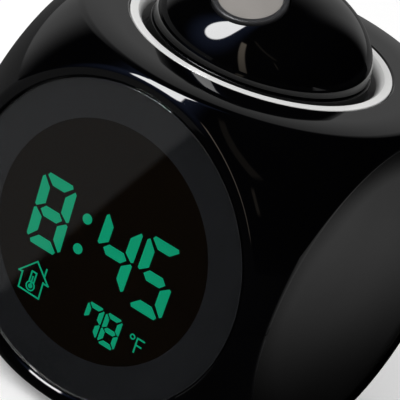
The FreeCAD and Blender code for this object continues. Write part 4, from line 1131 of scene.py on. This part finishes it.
@dataclass
class SideCovers:
    """The crowned discs that close both sides."""

    radius: float = 37.0
    top: float = 42.7
    fillet: float = 0.5
    steep: float = 12.0
    slight: float = 1.5
    turn: float = 38.0
    back: float = 39.9

    def build(self, wardrobe: Wardrobe) -> None:
        """Makes a disc for each side.

        Args:
            wardrobe: Makes the finish and seats the pieces.
        """
        r, f, turn = self.radius, self.fillet, self.turn
        steep, slight = math.radians(self.steep), math.radians(self.slight)
        ball = (r - f - turn * (math.sin(steep) - math.sin(slight))) / math.sin(slight)
        fall = ball * (1 - math.cos(slight)) + turn * (math.cos(slight) - math.cos(steep))
        level = self.top - fall - f * math.cos(steep)
        profile = lines((0, self.back), (r, self.back), (r, level))
        profile.append(arc(r - f, level, f, 0, 90 - self.steep, 8))
        profile.append(arc(r - f + (f - turn) * math.sin(steep), level + (f - turn) * math.cos(steep),
                           turn, 90 - self.steep, 90 - self.slight, 12))
        last = profile[-1][-1]
        profile.append(arc(last[0] - ball * math.sin(slight), last[1] - ball * math.cos(slight), ball,
                           90 - self.slight, 90, 12))
        profile[-1][-1] = (0.0, profile[-1][-1][1], 0.0, 1.0)
        for name, spot in (("right_side_cover", RIGHT), ("left_side_cover", LEFT)):
            wardrobe.seat(Skin().turned(spot, profile, 192).piece(name + "_disc"), "housing", "matte_black", name)


@dataclass
class TopWell:
    """The white ring and the well that the dome sinks into."""

    outer: float = 29.9
    mouth: float = 28.1
    bore: float = 26.7
    wall: float = 2.0
    top: float = 40.5
    flange: float = 1.2
    lip: float = 2.1
    bulge: float = 0.25
    floor: float = 26.0
    floor_thick: float = 1.5
    hole: float = 20.0
    edge: float = 0.25
    bend_steps: int = 12

    def bend(self) -> Run:
        """The slightly hollow slope from the ring's flat down into the bore.

        Returns:
            The points with their normals.
        """
        (r0, w0), (r2, w2) = (self.mouth, self.top), (self.bore, self.top - self.lip)
        size = math.hypot(r2 - r0, w2 - w0)
        r1 = (r0 + r2) / 2 + 2 * self.bulge * (w2 - w0) / size
        w1 = (w0 + w2) / 2 - 2 * self.bulge * (r2 - r0) / size
        run = []
        for k in range(self.bend_steps + 1):
            s = k / self.bend_steps
            r = (1 - s) ** 2 * r0 + 2 * s * (1 - s) * r1 + s * s * r2
            w = (1 - s) ** 2 * w0 + 2 * s * (1 - s) * w1 + s * s * w2
            dr, dw = (1 - s) * (r1 - r0) + s * (r2 - r1), (1 - s) * (w1 - w0) + s * (w2 - w1)
            run.append((r, w, dw / math.hypot(dr, dw), -dr / math.hypot(dr, dw)))
        return run

    def build(self, wardrobe: Wardrobe) -> None:
        """Turns the well in one profile.

        Args:
            wardrobe: Makes the finish and seats the piece.
        """
        body, t, e, outer = self.bore + self.wall, self.top, self.edge, self.outer
        low = self.floor - self.floor_thick
        profile = lines((self.hole, low), (body, low), (body, t - self.flange), (outer, t - self.flange),
                        (outer, t - e)) + [arc(outer - e, t - e, e, 0, 90, 5)]
        profile += lines((outer - e, t), (self.mouth, t)) + [self.bend()]
        profile += lines((self.bore, t - self.lip), (self.bore, self.floor), (self.hole, self.floor),
                         (self.hole, low))
        wardrobe.seat(Skin().turned(TOP, profile, 192).piece("white_well"), "housing", "white_gloss", "top_well")


@dataclass
class ProjectorHead:
    """The turning dome: collar, shell, focus ring and lens."""

    wide: float = 24.8
    tall: float = 16.65
    base: float = 40.45
    wall: float = 1.8
    hole: float = 8.7
    bevel: float = 0.25
    lip_outer: float = 23.3
    lip_inner: float = 21.9
    lip_low: float = 37.65
    reach: float = 12.6
    tilt: float = 24.0
    columns: int = 144
    collar: float = 25.2
    collar_top: float = 40.0
    collar_low: float = 35.2
    collar_wall: float = 1.8
    collar_hole: float = 9.6
    collar_edge: float = 0.25
    collar_chamfer: float = 0.2
    bezel_edge: float = 0.45
    lens_radius: float = 7.05
    lens_edge: float = -0.95
    lens_crown: float = 0.65

    def size(self, shrink: float) -> Vector:
        """The half axes of the shell, or of a face inside it."""
        return Vector((self.wide - shrink, self.wide - shrink, self.tall - shrink))

    def axis_spot(self) -> Spot:
        """Finds the lens's own axis.

        Returns:
            The spot where it leaves the shell.
        """
        lean = math.radians(self.tilt)
        height = self.base + self.tall * math.sqrt(1 - (self.reach / self.wide) ** 2)
        return Spot(CENTRE + Vector((0, -self.reach, height)), Vector((0, -math.sin(lean), math.cos(lean))),
                    Vector((0, math.cos(lean), math.sin(lean))))

    def on_shell(self, spot: Spot, radius: float, turn: float, shrink: float) -> Vector:
        """Where a line beside the lens axis leaves the shell.

        Args:
            spot: The lens's axis.
            radius: The line's distance from it.
            turn: Angle round it in radians.
            shrink: How far inside the outer shell, in millimetres.

        Returns:
            The point on a sphere of radius 1 that the shell is stretched from.
        """
        place = spot.column([[(radius, 0, 0, 1)] * 2], turn)[0][0][0] - CENTRE - Vector((0, 0, self.base))
        size = self.size(shrink)
        p, d = (Vector(a / b for a, b in zip(v, size)) for v in (place, spot.axis))
        b, c = p.dot(d), p.dot(p) - 1
        return p + d * ((-b + math.sqrt(b * b - d.dot(d) * c)) / d.dot(d))

    def path(self, middle_way: Vector, edge: Vector, shrink: float, steps: int, out: float) -> list[Corner]:
        """Points on the shell from its base up to the hole's edge.

        Args:
            middle_way: Direction of the lens on the sphere.
            edge: The hole's edge on the sphere.
            shrink: How far inside the outer shell.
            steps: Number of parts.
            out: 1 for the outer face and -1 for the inner.

        Returns:
            The points and normals.
        """
        size = self.size(shrink)
        away = (edge - middle_way * edge.dot(middle_way)).normalized()
        high = math.acos(max(-1.0, min(1.0, edge.dot(middle_way))))
        low = math.atan2(middle_way.z, -away.z)
        found = []
        for k in range(steps + 1):
            angle = low + (high - low) * k / steps
            s = middle_way * math.cos(angle) + away * math.sin(angle)
            normal = Vector(a / b for a, b in zip(s, size)).normalized() * out
            place = Vector((s.x * size.x, s.y * size.y, max(0.0, s.z) * size.z + self.base))
            found.append((CENTRE + place, normal))
        return found

    def shell(self) -> bpy.types.Object:
        """Makes the dome with its hole, wall and lower lip.

        Returns:
            The piece.
        """
        spot, skin, columns = self.axis_spot(), Skin(), []
        ways = {s: Vector(a / b for a, b in zip(spot.origin - CENTRE - Vector((0, 0, self.base)),
                                                (self.wide - s, self.wide - s, self.tall - s))).normalized()
                for s in (0.0, self.wall)}
        for k in range(self.columns):
            turn = 2 * math.pi * k / self.columns
            rim = self.on_shell(spot, self.hole + self.bevel, turn, 0.0).normalized()
            inner_rim = self.on_shell(spot, self.hole, turn, self.wall).normalized()
            outer = self.path(ways[0.0], rim, 0.0, 44, 1)
            inner = self.path(ways[self.wall], inner_rim, self.wall, 14, -1)
            out = (outer[-1][0] - spot.origin)
            out = (out - spot.axis * out.dot(spot.axis)).normalized()
            low_edge = outer[-1][0] - out * self.bevel - spot.axis * self.bevel
            slope = (spot.axis - out).normalized()
            runs = [outer, [(outer[-1][0], slope), (low_edge, slope)], [(low_edge, -out), (inner[-1][0], -out)],
                    inner[::-1]]
            foot = outer[0][0] - CENTRE
            side = Vector((foot.x, foot.y, 0)).normalized()
            places = [(self.wide - self.wall, self.base), (self.lip_inner, self.base), (self.lip_inner, self.lip_low),
                      (self.lip_outer, self.lip_low), (self.lip_outer, self.base), (self.wide, self.base)]
            for run in lines(*places):
                runs.append([(CENTRE + side * r + Vector((0, 0, w)), side * nr + Vector((0, 0, nw)))
                             for r, w, nr, nw in run])
            runs[4][0] = (inner[0][0], runs[4][0][1])
            runs[-1][-1] = (outer[0][0], runs[-1][-1][1])
            columns.append(runs)
        skin.sweep(columns)
        return skin.piece("dome_skin")

    def build(self, wardrobe: Wardrobe) -> None:
        """Makes the parts that turn.

        Args:
            wardrobe: Makes the finishes and seats the pieces.
        """
        wardrobe.seat(self.shell(), "dome", "gloss_black", "dome_shell")
        r, t, low, w, e = self.collar, self.collar_top, self.collar_low, self.collar_wall, self.collar_edge
        hole, c = self.collar_hole, self.collar_chamfer
        collar = lines((hole, low), (r - c, low), (r, low + c), (r, t - e)) + [arc(r - e, t - e, e, 0, 90, 5)]
        collar += lines((r - e, t), (r - w, t), (r - w, low + w), (hole, low + w), (hole, low))
        wardrobe.seat(Skin().turned(TOP, collar, 192).piece("collar"), "dome", "gloss_black", "turntable",
                      look="satin_collar")
        spot, e = self.axis_spot(), self.bezel_edge
        ring = lines((7.1, -3.2), (8.4, -3.2), (8.4, -1.05)) + [arc(8.4 - e, -1.05, e, 0, 90, 6)]
        ring += lines((8.4 - e, -0.6), (7.25, -0.6), (7.1, -0.75), (7.1, -3.2))
        wardrobe.seat(Skin().turned(spot, ring, 96).piece("focus_bezel"), "focus_ring", "grey_plastic",
                      "focus_ring")
        tube = lines((5.6, -7.5), (6.8, -7.5), (6.8, -3.2), (7.1, -3.2), (7.1, -1.35), (6.95, -1.2), (6.5, -1.2),
                     (6.4, -1.3), (6.4, -3.0), (5.6, -3.0), (5.6, -7.5))
        wardrobe.seat(Skin().turned(spot, tube, 96).piece("lens_tube"), "focus_ring", "matte_black", "lens_cell")
        r, edge, crown = self.lens_radius, self.lens_edge, self.lens_crown
        ball = (r * r + crown * crown) / (2 * crown)
        lean = math.degrees(math.asin(r / ball))
        lens = lines((0, -3.0), (6.35, -3.0), (6.35, -1.18), (r, -1.18), (r, edge))
        lens.append(arc(0, edge + crown - ball, ball, 90 - lean, 90, 14))
        wardrobe.seat(Skin().turned(spot, lens, 96).piece("lens"), "focus_ring", "clear_lens", "projection_lens",
                      look="milky_lens")


@dataclass
class SmallParts:
    """The round keys at the back and the rubber feet."""

    key_radius: float = 3.4
    key_face: float = 42.3
    key_low: float = 40.0
    key_fillet: float = 0.6
    key_rim: float = 0.3
    dish_radius: float = 14.0
    dish_drop: float = 0.02
    foot_radius: float = 4.6
    foot_height: float = 2.4
    foot_fillet: float = 0.6
    foot_hollow: float = 0.25
    plug_radius: float = 2.4
    plug_height: float = 3.6

    def build(self, wardrobe: Wardrobe) -> None:
        """Makes four keys and four feet.

        Args:
            wardrobe: Makes the finishes and seats the pieces.
        """
        r, f, face, dish = self.key_radius, self.key_fillet, self.key_face, self.dish_radius
        inner, sunk = r - f - self.key_rim, face - self.dish_drop
        lean = math.degrees(math.asin(inner / dish))
        key = lines((0, self.key_low), (r, self.key_low), (r, face - f)) + [arc(r - f, face - f, f, 0, 90, 8)]
        key += lines((r - f, face), (inner, sunk))
        key.append(arc(0, sunk + dish * math.cos(math.radians(lean)), dish, -90 + lean, -90, 8))
        for name in ("mode_button", "set_button", "down_button", "up_button"):
            centre = middle(name)
            spot = Spot(Vector((centre.x, 0, centre.z)), BACK.axis, BACK.up)
            wardrobe.seat(Skin().turned(spot, key, 64).piece(name + "_cap"), name, "grey_plastic", name)
        r, h, f, deep = self.foot_radius, self.foot_height, self.foot_fillet, self.foot_hollow
        plug, top = self.plug_radius, self.foot_height + self.plug_height
        foot = lines((0, deep), (1.6, deep), (1.6 + deep, 0.0), (r - f, 0.0)) + [arc(r - f, f, f, -90, 0, 6)]
        foot += lines((r, f), (r, h), (plug, h), (plug, top), (0, top))
        for name in ("front_left_foot", "back_left_foot", "front_right_foot", "back_right_foot"):
            centre = middle(name)
            spot = Spot(Vector((centre.x, centre.y, 0)), TOP.axis, TOP.up)
            wardrobe.seat(Skin().turned(spot, foot, 64).piece(name + "_pad"), "housing", "rubber", name)


# ---------------------------------------------------------------- studio


@dataclass(frozen=True)
class Strip:
    """A leaning strip of light: elevation and azimuth of its two ends in degrees, half width and levels."""

    top: tuple[float, float]
    foot: tuple[float, float]
    half: float
    high: float
    low: float


@dataclass
class Studio:
    """Floor, camera, soft lights and what the gloss reflects.

    Places on the surround are a turn from the front and a rise above the floor, in degrees. Places on the
    floor are in metres.
    """

    far: float = 12.0
    backdrop: tuple[float, float, float] = (-100.0, 172.0, 10.0)
    backdrop_fade: tuple[float, float, float] = (58.0, 22.0, 0.37)
    box_place: tuple[float, float] = (-33.5, 50.0)
    box_half: tuple[float, float] = (14.5, 23.0)
    box_fade: tuple[float, float, float] = (1.06, 0.94, 18.0)
    halo_fade: tuple[float, float] = (2.7, 0.8)
    tints: tuple[tuple[float, float], ...] = ((1.0, 0.11), (0.86, 0.15), (0.70, 0.30))
    strips: tuple[Strip, ...] = (Strip((50, 4), (-11, 22), 3.8, 1.5, 0.40), Strip((60, 16), (40, 49), 3.0, 0.10, 0.10),
                                 Strip((35, 47), (25, 52), 0.8, 0.2, 0.16))
    pale: float = 0.93
    # The floor as polished surfaces see it: painted light beyond the glare line and in a patch, painted shade
    # elsewhere.
    glare_line: Stroke = (-0.0428, -0.0804, -0.0707, -0.1967)
    glare_fade: tuple[float, float, float] = (-0.004, -0.001, 0.11)
    painted_shade_level: float = 0.008
    lights: tuple[tuple[str, float, float, float, float], ...] = (
        ("key", -34, 50, 0.7, 7.5), ("fill", 75, 40, 0.9, 1.6))

    @staticmethod
    def emitter(tree: bpy.types.NodeTree, red: object, green: object, blue: object) -> bpy.types.NodeSocket:
        """An Emission shader fed by three number sockets."""
        colour = add_node(tree, "ShaderNodeCombineColor", Red=red, Green=green, Blue=blue).outputs[0]
        return add_node(tree, "ShaderNodeEmission", Color=colour).outputs[0]

    def strip_light(self, sums: Sums, strip: Strip, turn: object, rise: object) -> bpy.types.NodeSocket:
        """How bright one strip is at a place on the surround.

        Args:
            sums: The writer of the tree's sums.
            strip: The strip.
            turn: The place's turn.
            rise: The place's rise.

        Returns:
            The level's socket.
        """
        (e0, a0), (e1, a1) = strip.top, strip.foot
        share = sums.op("DIVIDE", sums.op("SUBTRACT", e0, rise), e0 - e1)
        off = sums.op("ABSOLUTE", sums.op("SUBTRACT", turn, sums.op("MULTIPLY_ADD", share, a1 - a0, a0)))
        inside = sums.op("MULTIPLY", sums.rise(off, strip.half * 1.3, strip.half * 0.7),
                         sums.between(rise, e1, e0, 1.5))
        return sums.op("MULTIPLY", inside, sums.op("MULTIPLY_ADD", share, strip.low - strip.high, strip.high))

    def surround(self) -> None:
        """A far sphere that only polished surfaces see: backdrop, softbox and window strips."""
        bpy.ops.mesh.primitive_uv_sphere_add(segments=64, ring_count=32, radius=self.far)
        ball = bpy.context.object
        ball.name = "surround"
        for way in ("camera", "diffuse", "transmission", "shadow", "volume_scatter"):
            setattr(ball, "visible_" + way, False)
        mat, _, sums = new_material("surround")
        tree = sums.tree
        x, y, z = add_node(tree, "ShaderNodeSeparateXYZ", Vector=object_place(tree)).outputs
        turn = sums.op("MULTIPLY", sums.op("ARCTAN2", x, sums.op("MULTIPLY", y, -1.0)), 180 / math.pi)
        rise = sums.op("MULTIPLY", sums.op("ARCSINE", sums.op("DIVIDE", z, self.far)), 180 / math.pi)
        behind = sums.op("SUBTRACT", 1.0, sums.between(turn, *self.backdrop))
        plain = sums.op("MULTIPLY", behind, sums.rise(rise, *self.backdrop_fade))
        across, above = (sums.op("DIVIDE", sums.op("SUBTRACT", way, place), half)
                         for way, place, half in zip((turn, rise), self.box_place, self.box_half))
        away = sums.op("SQRT", sums.op("ADD", sums.op("MULTIPLY", across, across),
                                       sums.op("MULTIPLY", above, above)))
        halo = sums.rise(away, *self.halo_fade)
        plain = sums.op("ADD", plain, sums.rise(away, *self.box_fade))
        warm: object = 0.0
        for strip in self.strips:
            warm = sums.op("ADD", warm, self.strip_light(sums, strip, turn, rise))
        levels = [sums.op("ADD", plain, sums.op("ADD", sums.op("MULTIPLY", warm, w), sums.op("MULTIPLY", halo, c)))
                  for w, c in self.tints]
        feed(tree.nodes["Material Output"], Surface=self.emitter(tree, *levels))
        ball.data.materials.append(mat)

    def floor(self) -> None:
        """A pale floor that keeps the shadow; polished surfaces see painted shade in it, with painted light in two
        places.
        """
        bpy.ops.mesh.primitive_plane_add(size=2 * self.far)
        plane = bpy.context.object
        plane.name = "floor"
        mat, skin, sums = new_material("floor")
        tree = sums.tree
        path = tree.nodes.new("ShaderNodeLightPath").outputs
        feed(skin, Roughness=0.9, Specular_IOR_Level=0.0, Base_Color=(self.pale, self.pale, self.pale, 1),
             Emission_Color=(1, 1, 1, 1), Emission_Strength=sums.op("MULTIPLY", path["Is Camera Ray"], 0.22))
        # Seen by glossy rays only: painted shade all over, painted light beyond the glare line at the front left and
        # in a patch to the right.
        x, y, _ = add_node(tree, "ShaderNodeSeparateXYZ", Vector=object_place(tree)).outputs
        ax, ay, bx, by = self.glare_line
        size = math.hypot(bx - ax, by - ay)
        side = sums.op("SUBTRACT", sums.op("MULTIPLY", sums.op("SUBTRACT", x, ax), (by - ay) / size),
                       sums.op("MULTIPLY", sums.op("SUBTRACT", y, ay), (bx - ax) / size))
        painted_light_patch = sums.op("MULTIPLY", sums.rise(y, -0.03, 0.08), sums.rise(y, 0.24, 0.13))
        painted_light_patch = sums.op("MULTIPLY", painted_light_patch, sums.rise(x, 0.055, 0.105, 0.34))
        level = sums.op("ADD", sums.op("ADD", sums.rise(side, *self.glare_fade), painted_light_patch), self.painted_shade_level)
        show_either(tree, path["Is Glossy Ray"], skin.outputs["BSDF"], self.emitter(tree, level, level, level))
        plane.data.materials.append(mat)

    def lamps(self) -> None:
        """A plain level from all round, and a soft key from the front left."""
        world = bpy.data.worlds.new("room")
        bpy.context.scene.world = world
        world.use_nodes = True
        sums = Sums(world.node_tree)
        path = sums.tree.nodes.new("ShaderNodeLightPath").outputs
        seen = sums.op("MAXIMUM", path["Is Camera Ray"], path["Is Transmission Ray"])
        feed(sums.tree.nodes["Background"], Color=(1, 1, 1, 1), Strength=sums.op("MULTIPLY_ADD", seen, 0.48, 0.52))
        for name, turn, rise, size, power in self.lights:
            lamp = bpy.data.lights.new(name, "AREA")
            lamp.size, lamp.energy = size, power
            obj = bpy.data.objects.new(name, lamp)
            bpy.context.scene.collection.objects.link(obj)
            a, e = math.radians(turn), math.radians(rise)
            way = Vector((math.sin(a) * math.cos(e), -math.cos(a) * math.cos(e), math.sin(e)))
            obj.location = way * 1.2 + Vector((0, 0, 0.04))
            obj.rotation_euler = way.to_track_quat("Z", "Y").to_euler()
            obj.visible_glossy = False

    def camera(self) -> None:
        """The camera at the photograph's viewing angle."""
        eye = bpy.data.cameras.new("camera")
        eye.lens, eye.sensor_width = 313.70, 36.0
        obj = bpy.data.objects.new("camera", eye)
        bpy.context.scene.collection.objects.link(obj)
        obj.matrix_world = Matrix(((0.78283428, -0.46765984, 0.41044459, 0.3168),
                                   (0.54867129, 0.20769017, -0.80982999, -0.6289),
                                   (0.29347966, 0.85916184, 0.41917852, 0.3680), (0, 0, 0, 1)))
        bpy.context.scene.camera = obj
        bpy.context.scene.view_settings.view_transform = "Standard"

    def build(self) -> None:
        """Sets up the whole studio."""
        self.camera()
        self.lamps()
        self.floor()
        self.surround()
        log.info("studio ready")


def main() -> None:
    """Builds and dresses the clock, then the studio."""
    wardrobe = Wardrobe()
    wardrobe.dress_frame()
    for part in (Housing(), BasePlate(), FrontWindow(), LitSigns(), SideCovers(), TopWell(), ProjectorHead(),
                 SmallParts(), DoorRibs(), ReturnCoil()):
        log.info("building %s", type(part).__name__)
        part.build(wardrobe)
    Studio().build()


if __name__ == "__main__":
    main()
